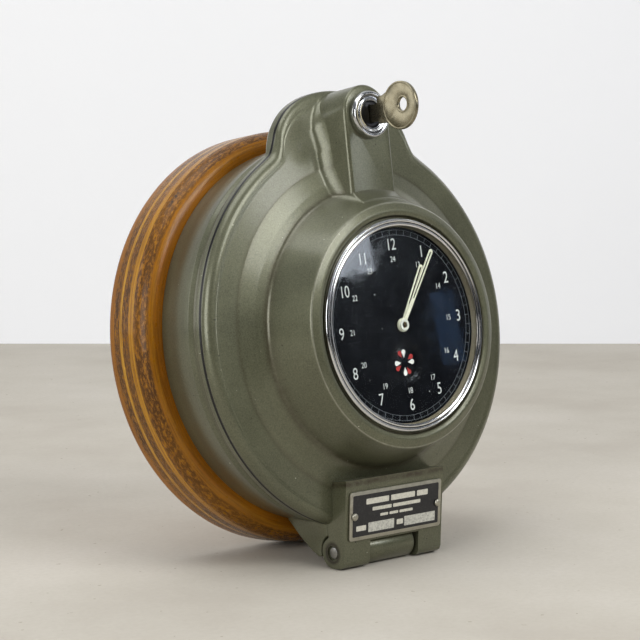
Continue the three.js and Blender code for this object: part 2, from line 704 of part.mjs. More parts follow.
function balanceWheel() {
  const [x, z] = alongEscape(BALANCE_DISTANCE);
  return join(
    tube(BALANCE_RADIUS - 1.3, BALANCE_RADIUS, 20.2, 21.4, 0, 0, 24),
    box(-BALANCE_RADIUS + 0.6, BALANCE_RADIUS - 0.6, 20.4, 21.2, -0.7, 0.7),
    rod(ARBOR_RADIUS, ARBOR_Y, ARBOR_BACK_Y),
    rod(1.8, 17.8, 18.8),
  ).translate(x, 0, z);
}

// A flat spiral strip round the balance staff.
function hairspring() {
  const turns = 2.5;
  const steps = 34;
  const inner = [];
  const outer = [];
  for (let i = 0; i <= steps; i += 1) {
    const angle = 2 * Math.PI * turns * i / steps;
    const radius = 2 + 4.2 * i / steps;
    inner.push([(radius - 0.12) * Math.cos(angle), (radius - 0.12) * Math.sin(angle)]);
    outer.push([(radius + 0.12) * Math.cos(angle), (radius + 0.12) * Math.sin(angle)]);
  }
  const [x, z] = alongEscape(BALANCE_DISTANCE);
  return slab(polygon([...outer, ...inner.reverse()]), 22.4, 23.2).translate(x, 0, z);
}

function windingArbor() {
  const shaft = rod(1.6, ARBOR_Y, 28);
  const ratchet = gear(16, 5.6, 0, BACK_PLATE_BACK_Y + GAP, 27.8);
  const square = box(-1.1, 1.1, 27.5, 30.4, -1.1, 1.1);
  return join(shaft, ratchet, square).translate(BARREL_X, 0, BARREL_Z);
}

place('mainspring_barrel', mainspringBarrel(), brass);
place('winding_arbor', windingArbor(), steel);
place('centre_arbor', centreArbor(), brass);
place('hour_wheel', hourWheel(), brass);
place('minute_wheel', minuteWheel(), brass);
place('escape_wheel', escapeWheel(), brass);
place('pallet_lever', palletLever(), steel);
place('balance_wheel', balanceWheel(), brass);
place('hairspring', hairspring(), steel);

// ---------------------------------------------------------------- movement frame

const PILLAR_PLACES = [110, 200, 330].map((degrees) => {
  const angle = THREE.MathUtils.degToRad(degrees);
  return [PILLAR_RADIUS * Math.cos(angle), PILLAR_RADIUS * Math.sin(angle)];
});
const PILLAR_SCREW_RADIUS = 1.3;

function movementFrontPlate() {
  const holes = BOSS_PLACES.map(([x, z]) => rod(1.5, 10, 15, x, z, 8));
  const disc = rod(FRONT_PLATE_RADIUS, FRONT_PLATE_Y, FRONT_PLATE_BACK_Y, 0, 0, 36);
  return cut(disc, rod(2.1, 10, 15), ...holes);
}

function movementBackPlate() {
  const holes = PILLAR_PLACES.map(([x, z]) => rod(PILLAR_SCREW_RADIUS + GAP, 23, 28, x, z, 8));
  const winding = rod(2, 23, 28, BARREL_X, BARREL_Z);
  return cut(rod(BACK_PLATE_RADIUS, BACK_PLATE_Y, BACK_PLATE_BACK_Y, 0, 0, 36), winding, ...holes);
}

function pillar([x, z]) {
  const profile = [
    [0, ARBOR_Y], [2.8, ARBOR_Y], [2.8, ARBOR_BACK_Y], [1.6, ARBOR_BACK_Y], [1.6, ARBOR_BACK_Y - 5],
    [0, ARBOR_BACK_Y - 5],
  ];
  return turned(profile, SMALL).translate(x, 0, z);
}

place('movement_front_plate', movementFrontPlate(), brass);
place('movement_back_plate', movementBackPlate(), brass);
PILLAR_PLACES.forEach(([x, z], i) => {
  place(`movement_pillar_${i + 1}`, pillar([x, z]), brass);
  const head = BACK_PLATE_BACK_Y + GAP + 1.4;
  place(`pillar_screw_${i + 1}`, backScrew(x, z, head, 1.4, 2.6, PILLAR_SCREW_RADIUS, 6), steel);
});
BOSS_PLACES.forEach(([x, z], i) => {
  const head = FRONT_PLATE_BACK_Y + GAP + 1.4;
  place(`cover_screw_${i + 1}`, backScrew(x, z, head, 1.4, 2.4, 1.2, 5.5), steel);
});

// ---------------------------------------------------------------- chart

function chartSpindle() {
  return turned([
    [0, BACK_PLATE_BACK_Y + GAP], [3.4, BACK_PLATE_BACK_Y + GAP], [3.4, CHART_Y - 1.5], [20, CHART_Y - 1.5],
    [20, CHART_Y - GAP], [2.2, CHART_Y - GAP], [2.2, CHART_Y + 4.6], [0, CHART_Y + 4.6],
  ], MEDIUM);
}

place('chart_spindle', chartSpindle(), brass);
place('chart_disc', tube(2.6, CHART_RADIUS, CHART_Y, CHART_Y + 0.4, 0, 0, FINE), chartPaper);
place('chart_nut', slab(knurledShape(7, 2.6, 18), CHART_Y + 0.7, CHART_Y + 4, 5), brass);

function knurledShape(radius, hole, ridges) {
  const points = [];
  for (let i = 0; i < 2 * ridges; i += 1) {
    const angle = Math.PI * i / ridges;
    const reach = i % 2 ? radius : radius - 0.5;
    points.push([reach * Math.cos(angle), reach * Math.sin(angle)]);
  }
  const shape = polygon(points);
  roundHole(shape, 0, 0, hole);
  return shape;
}

// ---------------------------------------------------------------- lock

const CAM_Y = 35;
const CAM_BACK_Y = 36.6;
const KEYWAY_HALF_HEIGHT = 4.5;

function lockBody() {
  const bore = PLUG_RADIUS + GAP;
  return ring([
    [bore, 10.6], [8.2, 10.6], [8.6, 9.9], [9.6, 9.7], [LOCK_COLLAR_RADIUS, 10.6],
    [LOCK_COLLAR_RADIUS, TOWER_FRONT_Y - GAP], [LOCK_BARREL_RADIUS, TOWER_FRONT_Y - GAP],
    [LOCK_BARREL_RADIUS, CAM_Y - GAP], [bore, CAM_Y - GAP],
  ], MEDIUM).translate(0, 0, LOCK_Z);
}

function lockNut() {
  const corners = arcPoints(0, 0, 11.2, 0, 300, 5);
  const shape = polygon(corners);
  roundHole(shape, 0, 0, LOCK_BARREL_RADIUS + GAP);
  const frontY = TOWER_FRONT_Y + WALL + GAP;
  return slab(shape, frontY, frontY + 3, 8).translate(0, 0, LOCK_Z);
}

function lockPlug() {
  const plug = turned([
    [0, 10.9], [PLUG_RADIUS, 10.9], [PLUG_RADIUS, CAM_Y - GAP], [2.6, CAM_Y - GAP], [2.6, CAM_BACK_Y],
    [0, CAM_BACK_Y],
  ], 24).translate(0, 0, LOCK_Z);
  const half = KEY_THICKNESS / 2 + GAP;
  return cut(
    plug,
    box(-half, half, 8, 31.5, LOCK_Z - KEYWAY_HALF_HEIGHT, LOCK_Z + KEYWAY_HALF_HEIGHT),
    rod(1.3, 33, 38, 0, LOCK_Z, 10),
  );
}

// The cam hangs straight down when the lock is open.
function lockCam() {
  const shape = new THREE.Shape();
  shape.absarc(0, 0, 5.4, 0, Math.PI, false);
  shape.lineTo(-3.4, -9.4);
  shape.absarc(0, -9.4, 3.4, Math.PI, 2 * Math.PI, false);
  roundHole(shape, 0, 0, 2.9);
  return slab(shape, CAM_Y, CAM_BACK_Y, 6).translate(0, 0, LOCK_Z);
}

function key() {
  const bow = { y: -9.8, z: 102, radius: 11.3 };
  const bladeTop = LOCK_Z + KEYWAY_HALF_HEIGHT - GAP;
  const bladeBottom = LOCK_Z - KEYWAY_HALF_HEIGHT + GAP;
  const outline = [
    ...arcPoints(bow.y, bow.z, bow.radius, 42, 322, 20),
    [3.2, 95.4], [5.4, 95.4], [5.4, bladeBottom], [26, bladeBottom], [30.5, LOCK_Z - 0.6],
    [27.5, bladeTop], [24, bladeTop - 1.6], [21, bladeTop - 0.4], [18, bladeTop - 2], [15, bladeTop],
    [5.4, bladeTop],
    [5.4, 108.4], [1.5, 108.4],
  ];
  const shape = polygon(outline);
  roundHole(shape, -11.7, 102.3, 3.1);
  return beam(shape, -KEY_THICKNESS / 2, KEY_THICKNESS / 2, 7);
}

// A bracket on the rear case whose lip the cam turns behind when the lock is shut.
function lockKeeper() {
  const floorY = LOBE_BACK_Y - 2 - GAP;
  const shape = polygon([
    [9.8, CAM_Y - 2], [14.8, CAM_Y - 2], [14.8, floorY - 1.3], [22, floorY - 1.3], [22, floorY],
    [13.4, floorY], [13.4, CAM_Y - 0.4], [9.8, CAM_Y - 0.4],
  ]);
  const body = new THREE.ExtrudeGeometry(shape, { depth: 6, bevelEnabled: false });
  return weld(body.translate(0, 0, LOCK_Z - 5.9));
}

place('lock_body', lockBody(), chrome);
place('lock_nut', lockNut(), steel);
place('lock_plug', lockPlug(), steel);
place('lock_cam', lockCam(), steel);
place('cam_screw', backScrew(0, LOCK_Z, CAM_BACK_Y + GAP + 1, 1, 4.2, 1, 2.4), steel);
place('lock_keeper', lockKeeper(), steel);
place('key', key(), keyMetal);

// ---------------------------------------------------------------- pendulum

function pendulumBracket() {
  const floorY = CASE_FLOOR_Y - GAP;
  const post = turned([
    [0, 46.8], [3.2, 46.8], [3.2, 48], [2, 48], [2, 54.3], [4, 54.3], [4, floorY - 1], [0, floorY - 1],
  ], SMALL).translate(0, 0, PENDULUM_Z);
  return join(post, box(-14, 14, floorY - 2, floorY, PENDULUM_Z - 8, PENDULUM_Z + 8));
}

function pendulumArm() {
  const shape = polygon([
    [-3, WEIGHT_Z - 5], [3, WEIGHT_Z - 5], [3, PENDULUM_Z + 4], [-3, PENDULUM_Z + 4],
  ]);
  const bar = slab(shape, ARM_Y, ARM_BACK_Y);
  const hub = rod(5, 48.3, 54, 0, PENDULUM_Z, 18);
  return cut(
    join(bar, hub),
    rod(2.3, 40, 60, 0, PENDULUM_Z),
    rod(2.6, 40, 60, 0, WEIGHT_Z),
  );
}

function stylus() {
  const shape = polygon([
    [ARM_Y - GAP, 14], [ARM_Y - GAP, 26], [ARM_Y - 1.3, 26], [ARM_Y - 1.3, 22.2], [35, 33.4],
    [CHART_Y + 0.7, 34.4], [34.4, 32.2], [ARM_Y - 1.3, 20], [ARM_Y - 1.3, 14],
  ]);
  return beam(shape, -1.5, 1.5);
}

place('pendulum_bracket', pendulumBracket(), steel);
place('pendulum_arm', pendulumArm(), steel);
place('pendulum_weight', tube(2.6, 17, ARM_BACK_Y + GAP, 61, 0, WEIGHT_Z, MEDIUM), brass);
place('weight_screw', screw(0, WEIGHT_Z, 47.2, 2.5, 4.6, 2.3, 11), steel);
place('stylus', stylus(), steel);

// ---------------------------------------------------------------- stance

// The lean brings the hinge ears and the board's lower back edge down to one level.
function leanAngle() {
  const ear = { y: PIN_Y, z: PIN_Z, radius: EAR_RADIUS };
  const edge = {
    y: BOARD_BACK_Y - BOARD_BACK_ROUND, z: -(BOARD_RADIUS - BOARD_BACK_ROUND), radius: BOARD_BACK_ROUND,
  };
  const dy = edge.y - ear.y;
  const dz = edge.z - ear.z;
  return Math.acos((edge.radius - ear.radius) / Math.hypot(dy, dz)) - Math.atan2(dy, dz);
}

caseGroup.rotation.x = -leanAngle();
const clock = new THREE.Group();
clock.add(caseGroup);
clock.updateMatrixWorld(true);
const bounds = new THREE.Box3().setFromObject(clock, true);
const middle = bounds.getCenter(new THREE.Vector3());
caseGroup.position.set(-middle.x, -middle.y, -bounds.min.z);

export default clock;
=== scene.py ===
# %% [markdown]
# # Time recorder clock
#
# A round steel clock with a hinged front, used to record working hours. The front cover carries
# the dial, a cabinet lock with its key and a small nameplate. The rear case is screwed to a round
# board of laminated beech. Everything is drawn in millimetres in the case's own frame: the origin
# is on the dial's axis at the front of the bezel, X points right, Y back and Z up the dial.

# %% Setup
import bpy
import bmesh
import json
import math
from mathutils import Matrix, Vector

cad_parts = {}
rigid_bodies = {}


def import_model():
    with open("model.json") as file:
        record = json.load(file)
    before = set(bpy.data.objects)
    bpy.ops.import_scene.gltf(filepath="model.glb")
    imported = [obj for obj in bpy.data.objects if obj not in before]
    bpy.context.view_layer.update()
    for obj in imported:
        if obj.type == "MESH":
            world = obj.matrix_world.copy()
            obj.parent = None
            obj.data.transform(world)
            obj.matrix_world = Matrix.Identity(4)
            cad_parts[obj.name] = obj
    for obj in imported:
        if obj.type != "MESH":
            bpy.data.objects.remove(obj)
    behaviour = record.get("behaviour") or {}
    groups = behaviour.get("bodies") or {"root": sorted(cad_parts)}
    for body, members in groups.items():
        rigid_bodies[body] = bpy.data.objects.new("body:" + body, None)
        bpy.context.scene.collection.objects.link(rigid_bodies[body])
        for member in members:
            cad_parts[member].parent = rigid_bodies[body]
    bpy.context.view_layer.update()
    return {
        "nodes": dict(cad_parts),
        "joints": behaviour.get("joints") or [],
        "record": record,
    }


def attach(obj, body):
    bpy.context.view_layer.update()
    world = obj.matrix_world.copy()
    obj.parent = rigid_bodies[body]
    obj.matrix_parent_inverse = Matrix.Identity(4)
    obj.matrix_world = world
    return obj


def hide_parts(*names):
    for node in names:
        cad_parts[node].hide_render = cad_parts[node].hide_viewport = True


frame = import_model()
MM = 0.001

# %% [markdown]
# ## The case frame
#
# The clock leans back on its hinge ears. The joints are stated in the leaning frame, so the minute
# arbor gives both the direction of the dial's axis and a point on it, 6 mm behind the bezel.

# %% Case frame
JOINTS = {joint["name"]: joint for joint in frame["joints"]}
AXIS = Vector(JOINTS["minute_turn"]["axis"]).normalized()
ORIGIN = Vector(JOINTS["minute_turn"]["pos_m"]) - 6 * MM * AXIS
LEAN = math.atan2(-AXIS.z, AXIS.y)
CASE = Matrix.Translation(ORIGIN) @ Matrix.Rotation(-LEAN, 4, "X") @ Matrix.Scale(MM, 4)
print("lean in degrees:", round(math.degrees(LEAN), 3))

# %% [markdown]
# ## Helpers for shapes
#
# Most pieces of a clock are turned, pressed or cut from sheet. A turned piece is a profile of
# [radius, y] corners, each with an optional fillet, spun about the dial's axis. A sheet piece is an
# outline that is extruded along Y, and its sharp edges are broken with a small bevel.

# %% Shape helpers
def fillet_path(corners, steps=5, closed=True):
    """Replaces each corner (u, v, radius) by an arc of that radius, as a file would."""
    points = []
    count = len(corners)
    for i, corner in enumerate(corners):
        here = Vector(corner[:2])
        radius = corner[2] if len(corner) > 2 else 0
        if not radius or (not closed and i in (0, count - 1)):
            points.append(tuple(here))
            continue
        back = Vector(corners[i - 1][:2]) - here
        ahead = Vector(corners[(i + 1) % count][:2]) - here
        half = back.angle(ahead) / 2
        reach = min(radius / math.tan(half), 0.49 * back.length, 0.49 * ahead.length)
        radius = reach * math.tan(half)
        centre = here + (back.normalized() + ahead.normalized()).normalized() * radius / math.sin(half)
        start = here + back.normalized() * reach - centre
        finish = here + ahead.normalized() * reach - centre
        turn = start.angle_signed(finish)
        for step in range(steps + 1):
            arm = start.copy()
            arm.rotate(Matrix.Rotation(-turn * step / steps, 2))
            points.append(tuple(centre + arm))
    return points


def dense(path, step):
    """The same open path with no stretch longer than a step, so that a later warp stays smooth."""
    out = [path[0]]
    for a, b in zip(path, path[1:]):
        count = max(1, math.ceil(math.dist(a, b) / step))
        for i in range(1, count + 1):
            out.append((a[0] + (b[0] - a[0]) * i / count, a[1] + (b[1] - a[1]) * i / count))
    return out


def new_loop(bm, points):
    """A closed loop of edges through 3-D points."""
    verts = [bm.verts.new(point) for point in points]
    return [bm.edges.new((verts[i - 1], verts[i])) for i in range(len(verts))]


def spun(profile, steps=96, closed=True):
    """A profile of [radius, y] points turned right round the dial's axis."""
    bm = bmesh.new()
    verts = [bm.verts.new((radius, y, 0)) for radius, y in profile]
    pairs = list(zip(verts, verts[1:])) + ([(verts[-1], verts[0])] if closed else [])
    edges = [bm.edges.new(pair) for pair in pairs]
    bmesh.ops.spin(bm, geom=verts + edges, cent=(0, 0, 0), axis=(0, 1, 0), dvec=(0, 0, 0),
                   angle=2 * math.pi, steps=steps, use_merge=True, use_duplicate=False)
    bmesh.ops.remove_doubles(bm, verts=bm.verts, dist=1e-4)
    bmesh.ops.dissolve_degenerate(bm, edges=bm.edges, dist=1e-5)
    bmesh.ops.recalc_face_normals(bm, faces=bm.faces)
    return bm


def slab(outline, y0, y1, bevel=0.0, segments=2):
    """An outline in X and Z, extruded along Y, with its sharp edges broken."""
    bm = bmesh.new()
    edges = new_loop(bm, [(x, y0, z) for x, z in outline])
    bmesh.ops.triangle_fill(bm, use_beauty=True, use_dissolve=False, edges=edges)
    return thicken(bm, Vector((0, y1 - y0, 0)), bevel, segments)


def thicken(bm, offset, bevel=0.0, segments=2):
    """Extrudes every face of a flat sheet by an offset and breaks the sharp edges."""
    result = bmesh.ops.extrude_face_region(bm, geom=bm.faces[:], use_keep_orig=True)
    raised = [item for item in result["geom"] if isinstance(item, bmesh.types.BMVert)]
    bmesh.ops.translate(bm, vec=offset, verts=raised)
    bmesh.ops.recalc_face_normals(bm, faces=bm.faces)
    if bevel:
        soften(bm, bevel, segments)
    return bm


def soften(bm, width, segments=2, angle=35):
    """Bevels every edge sharper than an angle."""
    limit = math.radians(angle)
    sharp = [edge for edge in bm.edges if edge.is_manifold and edge.calc_face_angle() > limit]
    bmesh.ops.bevel(bm, geom=sharp, offset=width, segments=segments, profile=0.5,
                    affect="EDGES", clamp_overlap=True, material=-1)
    bmesh.ops.recalc_face_normals(bm, faces=bm.faces)
    return bm


def circle(radius, count=48, x=0.0, z=0.0, start=0.0):
    """Points round a circle in X and Z."""
    turns = [start + 2 * math.pi * i / count for i in range(count)]
    return [(x + radius * math.cos(turn), z + radius * math.sin(turn)) for turn in turns]


def arc(cx, cz, radius, from_deg, to_deg, count=12):
    """Points along an arc, both ends included."""
    points = []
    for i in range(count + 1):
        turn = math.radians(from_deg + (to_deg - from_deg) * i / count)
        points.append((cx + radius * math.cos(turn), cz + radius * math.sin(turn)))
    return points


def moved(bm, matrix):
    """The same bmesh after a transform."""
    bmesh.ops.transform(bm, matrix=matrix, verts=bm.verts)
    return bm


def gathered(*parts):
    """Several bmeshes as one."""
    whole = bmesh.new()
    for part in parts:
        mesh = bpy.data.meshes.new("part")
        part.to_mesh(mesh)
        part.free()
        whole.from_mesh(mesh)
        bpy.data.meshes.remove(mesh)
    return whole


def boolean(bm, tool, operation="DIFFERENCE"):
    """Joins or cuts one closed body with another."""
    pair = []
    for label, source in (("work", bm), ("tool", tool)):
        mesh = bpy.data.meshes.new(label)
        source.to_mesh(mesh)
        source.free()
        item = bpy.data.objects.new(label, mesh)
        bpy.context.scene.collection.objects.link(item)
        pair.append(item)
    modifier = pair[0].modifiers.new("cut", "BOOLEAN")
    modifier.operation = operation
    modifier.solver = "EXACT"
    modifier.object = pair[1]
    bpy.context.view_layer.update()
    result = bmesh.new()
    result.from_object(pair[0], bpy.context.evaluated_depsgraph_get())
    for item in pair:
        mesh = item.data
        bpy.data.objects.remove(item)
        bpy.data.meshes.remove(mesh)
    return result


def smoothstep(low, high, value):
    """0 below the low value, 1 above the high one, and a smooth rise between."""
    share = max(0.0, min(1.0, (value - low) / (high - low)))
    return share * share * (3 - 2 * share)


def smooth_min(a, b, width):
    """The smaller of two heights, with a fillet where they meet."""
    share = max(0.0, min(1.0, 0.5 + 0.5 * (b - a) / width))
    return b + (a - b) * share - width * share * (1 - share)


MADE = []


def piece(name, bm, material, body, nodes=(), angle=32, place=CASE):
    """Turns a bmesh in case millimetres into a finished piece that rides on a body."""
    bmesh.ops.transform(bm, matrix=place, verts=bm.verts)
    mesh = bpy.data.meshes.new(name)
    bm.to_mesh(mesh)
    bm.free()
    mesh.materials.append(material)
    mesh.polygons.foreach_set("use_smooth", [True] * len(mesh.polygons))
    mesh.set_sharp_from_angle(angle=math.radians(angle))
    item = bpy.data.objects.new(name, mesh)
    bpy.context.scene.collection.objects.link(item)
    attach(item, body)
    if nodes:
        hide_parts(*nodes)
    MADE.append(item)
    return item


# %% [markdown]
# ## Helpers for finishes
#
# Colours are written as sRGB hex and turned to linear light once. Every pattern is laid out in case
# millimetres, so a number such as a noise scale of 2 means two features to the millimetre.

# %% Finish helpers
def colour(code):
    """Linear RGBA from an sRGB hex string."""
    parts = [int(code[i:i + 2], 16) / 255 for i in (0, 2, 4)]
    return tuple(c / 12.92 if c <= 0.04045 else ((c + 0.055) / 1.055) ** 2.4 for c in parts) + (1.0,)


class Finish:
    """A material under construction: one shader and one helper that adds and links nodes."""

    def __init__(self, name, **settings):
        self.material = bpy.data.materials.new(name)
        self.material.use_nodes = True
        self.tree = self.material.node_tree
        self.shader = self.tree.nodes["Principled BSDF"]
        self.output = self.tree.nodes["Material Output"]
        for socket, value in settings.items():
            self.set(socket.replace("_", " "), value)

    def set(self, socket, value):
        self.plug(self.shader.inputs[socket], value)

    def plug(self, socket, value):
        if isinstance(value, bpy.types.NodeSocket):
            self.tree.links.new(value, socket)
        else:
            socket.default_value = value

    def add(self, kind, *values, out=0, stops=(), **settings):
        """Adds a node and returns one of its outputs, or all of them when out is None.

        Plain values fill the node's inputs in order. A setting that starts with a capital is an
        input, and any other is a property of the node. Stops are (position, hex) colours of a ramp.
        """
        node = self.tree.nodes.new("ShaderNode" + kind)
        inputs = {key.replace("_", " "): value for key, value in settings.items() if key[0].isupper()}
        for key in settings:
            if key[0].islower():
                setattr(node, key, settings[key])
        for socket, value in zip([s for s in node.inputs if s.enabled], values):
            self.plug(socket, value)
        for key, value in inputs.items():
            self.plug(node.inputs[key], value)
        for i, (position, code) in enumerate(stops):
            elements = node.color_ramp.elements
            element = elements[i] if i < len(elements) else elements.new(1.0)
            element.position = position
            element.color = colour(code)
        if out is None:
            return node.outputs
        return node.outputs[out] if isinstance(out, str) else [s for s in node.outputs if s.enabled][out]

    def case(self):
        """The point in case millimetres."""
        point = self.add("TexCoord", out="Object")
        shift = -(Matrix.Rotation(LEAN, 3, "X") @ ORIGIN) / MM
        return self.add("Mapping", Vector=point, Location=shift, Rotation=(LEAN, 0, 0),
                        Scale=(1 / MM, 1 / MM, 1 / MM), vector_type="POINT")

    def radius(self, parts):
        """The distance from the dial's axis."""
        x_squared = self.add("Math", parts["X"], 2.0, operation="POWER")
        z_squared = self.add("Math", parts["Z"], 2.0, operation="POWER")
        return self.add("Math", self.add("Math", x_squared, z_squared, operation="ADD"), operation="SQRT")

    def band(self, value, centre, half):
        """1 at a centre value, falling to 0 at a distance from it."""
        away = self.add("Math", self.add("Math", value, centre, operation="SUBTRACT"), operation="ABSOLUTE")
        return self.add("MapRange", away, 0.0, half, 1.0, 0.0, interpolation_type="SMOOTHSTEP")


print("helpers ready")

# %% [markdown]
# ## Paint
#
# The steel wears a stoved metallic enamel: a green-grey lacquer with fine aluminium flake, semi-gloss
# and slightly orange-peeled. Shade is painted into the concave creases and a highlight along the crisp
# edge round the dial, so each of these is a band at a known radius. A near-black band paints the
# seam's shadow. Small dark chips are scattered over the enamel.

# %% Paint
def enamel(name, crease_shade=(), edge_highlight=(), extra=None, seam_shadow_y=None):
    """Green-grey flake enamel; shade and highlight bands hold (radius, half width, strength), all painted."""
    f = Finish(name, Metallic=0.5, Roughness=0.36, Coat_Weight=0.45, Coat_Roughness=0.17)
    point = f.case()
    parts = f.add("SeparateXYZ", point, out=None)
    radius = f.radius(parts)
    cloud = f.add("TexNoise", Vector=point, Scale=0.035, Detail=4, Roughness=0.6)
    base = f.add("ValToRGB", cloud, stops=[(0.3, "525340"), (0.5, "595a45"), (0.7, "60614b")])
    flake = f.add("TexNoise", Vector=point, Scale=1.7, Detail=2, Roughness=0.6)
    base = f.add("Mix", f.add("MapRange", flake, 0.35, 0.7, 0.0, 0.4), base, colour("7f8068"),
                 data_type="RGBA")
    dark_flake = f.add("TexNoise", Vector=point, Scale=1.1, Detail=3, Roughness=0.7)
    base = f.add("Mix", f.add("MapRange", dark_flake, 0.5, 0.75, 0.0, 0.5), base, colour("3b3c30"),
                 data_type="RGBA")
    spots = f.add("TexNoise", Vector=point, Scale=0.33, Detail=2, Roughness=0.8)
    chips = f.add("MapRange", spots, 0.735, 0.755)
    base = f.add("Mix", chips, base, colour("2a261e"), data_type="RGBA")
    light = f.add("MapRange", f.add("TexNoise", Vector=point, Scale=0.6, Detail=1, Roughness=0.5), 0.8,
                  0.82)
    base = f.add("Mix", light, base, colour("b9b8a6"), data_type="RGBA")
    streak = f.add("TexNoise", Vector=point, Scale=0.25, Detail=5, Roughness=0.7)
    # Painted shade: streaky darker bands in the concave creases, where shade falls.
    for centre, half, strength in crease_shade:
        share = f.add("Math", f.band(radius, centre, half),
                      f.add("MapRange", streak, 0.3, 0.62, 0.25, strength), operation="MULTIPLY")
        base = f.add("Mix", share, base, colour("382d1c"), data_type="RGBA")
    # Painted highlight: a pale streaky band along a crisp edge, where the edge catches the light.
    for centre, half, strength in edge_highlight:
        share = f.add("Math", f.band(radius, centre, half),
                      f.add("MapRange", streak, 0.35, 0.6, 0.15, strength), operation="MULTIPLY")
        base = f.add("Mix", share, base, colour("bdbbab"), data_type="RGBA")
    # Painted shadow: a near-black band at the seam's depth, standing for the shade in the gap between cover
    # and case.
    if seam_shadow_y:
        near = f.add("Math", parts["Y"], seam_shadow_y, 0.7, operation="COMPARE")
        base = f.add("Mix", near, base, colour("0b0a08"), data_type="RGBA")
    if extra:
        base = extra(f, parts, streak, base)
    f.set("Base Color", base)
    f.set("Roughness", f.add("MapRange", cloud, 0.3, 0.7, 0.32, 0.42))
    peel = f.add("Math", f.add("TexNoise", Vector=point, Scale=0.8, Detail=2, Roughness=0.5),
                 f.add("Math", flake, 0.35, operation="MULTIPLY"), operation="ADD")
    f.set("Normal", f.add("Bump", Height=peel, Strength=0.16, Distance=0.12 * MM))
    return f.material


def tower_dirt(f, parts, streak, base):
    """Grime and painted shade where the tower's front face runs into the dial's ring."""
    share = f.add("Math", f.band(parts["Z"], 60.5, 5.0), f.add("MapRange", streak, 0.3, 0.6, 0.3, 0.95),
                  operation="MULTIPLY")
    return f.add("Mix", share, base, colour("3b2f20"), data_type="RGBA")


def block_dirt(f, parts, streak, base):
    """Painted shade along the crease at the hinge block's top and in the recess round the pin."""
    top = f.add("Math", f.band(parts["Z"], -71.5, 2.6), f.add("MapRange", streak, 0.3, 0.6, 0.2, 0.9),
                operation="MULTIPLY")
    base = f.add("Mix", top, base, colour("352a1b"), data_type="RGBA")
    out_y = f.add("Math", f.add("Math", parts["Y"], 32.1, operation="SUBTRACT"), 2.0, operation="POWER")
    out_z = f.add("Math", f.add("Math", parts["Z"], -103.8, operation="SUBTRACT"), 2.0, operation="POWER")
    ring = f.band(f.add("Math", f.add("Math", out_y, out_z, operation="ADD"), operation="SQRT"), 4.4, 1.6)
    return f.add("Mix", f.add("Math", ring, 0.85, operation="MULTIPLY"), base, colour("241c12"),
                 data_type="RGBA")


# Cover: painted shade at the bezel's seat, the cone's foot and the step, a painted highlight on the crisp
# edge and a painted seam shadow.
COVER_PAINT = enamel("stoved_flake_enamel_cover",
                     crease_shade=[(51.0, 1.0, 0.9), (66.5, 2.6, 0.55), (79.5, 2.0, 0.25)],
                     edge_highlight=[(57.6, 0.5, 0.4)], seam_shadow_y=34.3)
# Case: painted shade in the groove behind the lip and a painted seam shadow.
CASE_PAINT = enamel("stoved_flake_enamel_case", crease_shade=[(93.2, 0.6, 0.3)], seam_shadow_y=34.6)
TOWER_PAINT = enamel("stoved_flake_enamel_tower", extra=tower_dirt)
BLOCK_PAINT = enamel("stoved_flake_enamel_block", extra=block_dirt)
print("paint ready")

# %% [markdown]
# ## Front cover
#
# The cover is a deep steel pressing. Its front was spun: a raised ring round the dial, a crisp edge,
# a steep cone, a shallow step and a rounded rim. At the top the rim swells into a lobe for the lock,
# so the turned rim is pushed out to the lobe's outline and its flange is stretched with it.

# %% Front cover
SEAM_Y = 34.2
CASE_Y = 34.6
RIM = 95.6
LOBE = [(0, 115.6), (6.0, 115.5), (11.8, 114.1), (17.5, 110.8), (22.2, 105.4), (25.2, 100.0), (27.7, 96.6),
        (30.5, 95.75), (33, 95.6)]


def rim_radius(turn):
    """The rim's radius at an angle from the top in degrees, through the lobe's outline."""
    turn = abs(turn)
    if turn >= LOBE[-1][0]:
        return RIM
    for i in range(len(LOBE) - 1):
        (a0, r0), (a1, r1) = LOBE[i], LOBE[i + 1]
        if turn <= a1:
            before = LOBE[i - 1] if i else (-LOBE[1][0], LOBE[1][1])
            after = LOBE[i + 2] if i + 2 < len(LOBE) else (a1 + 3, RIM)
            slope0 = (r1 - before[1]) / (a1 - before[0])
            slope1 = (after[1] - r0) / (after[0] - a0)
            t = (turn - a0) / (a1 - a0)
            span = a1 - a0
            return (r0 * (2 * t**3 - 3 * t**2 + 1) + span * slope0 * (t**3 - 2 * t**2 + t)
                    + r1 * (3 * t**2 - 2 * t**3) + span * slope1 * (t**3 - t**2))
    return RIM


def polar(co):
    """(angle from the top in degrees, radius) of a point, after the columns are gathered at the top."""
    radius = math.hypot(co.x, co.z)
    turn = math.atan2(co.x, co.z)
    return math.degrees(turn - 0.75 * math.sin(turn)), radius


def set_polar(vert, turn, radius, y):
    turn = math.radians(turn)
    vert.co = Vector((radius * math.sin(turn), y, radius * math.cos(turn)))


def flange_y(radius):
    return 29 + 0.13 * (radius - 88)


TOWER_FRONT = 13.7
TOWER_HALF = 13.8
TOWER_FLARE = 0.27
TOWER_TOP = 115.6


def tower_depth(x, z, shrink):
    """How far back the tower's surface lies over a point of the front view."""
    x = abs(x) + shrink
    drop = TOWER_TOP - z
    half = x if drop > x else (x * x + drop * drop) / (2 * max(drop, 0.01))
    return TOWER_FRONT + max(0.0, half - TOWER_HALF) / TOWER_FLARE


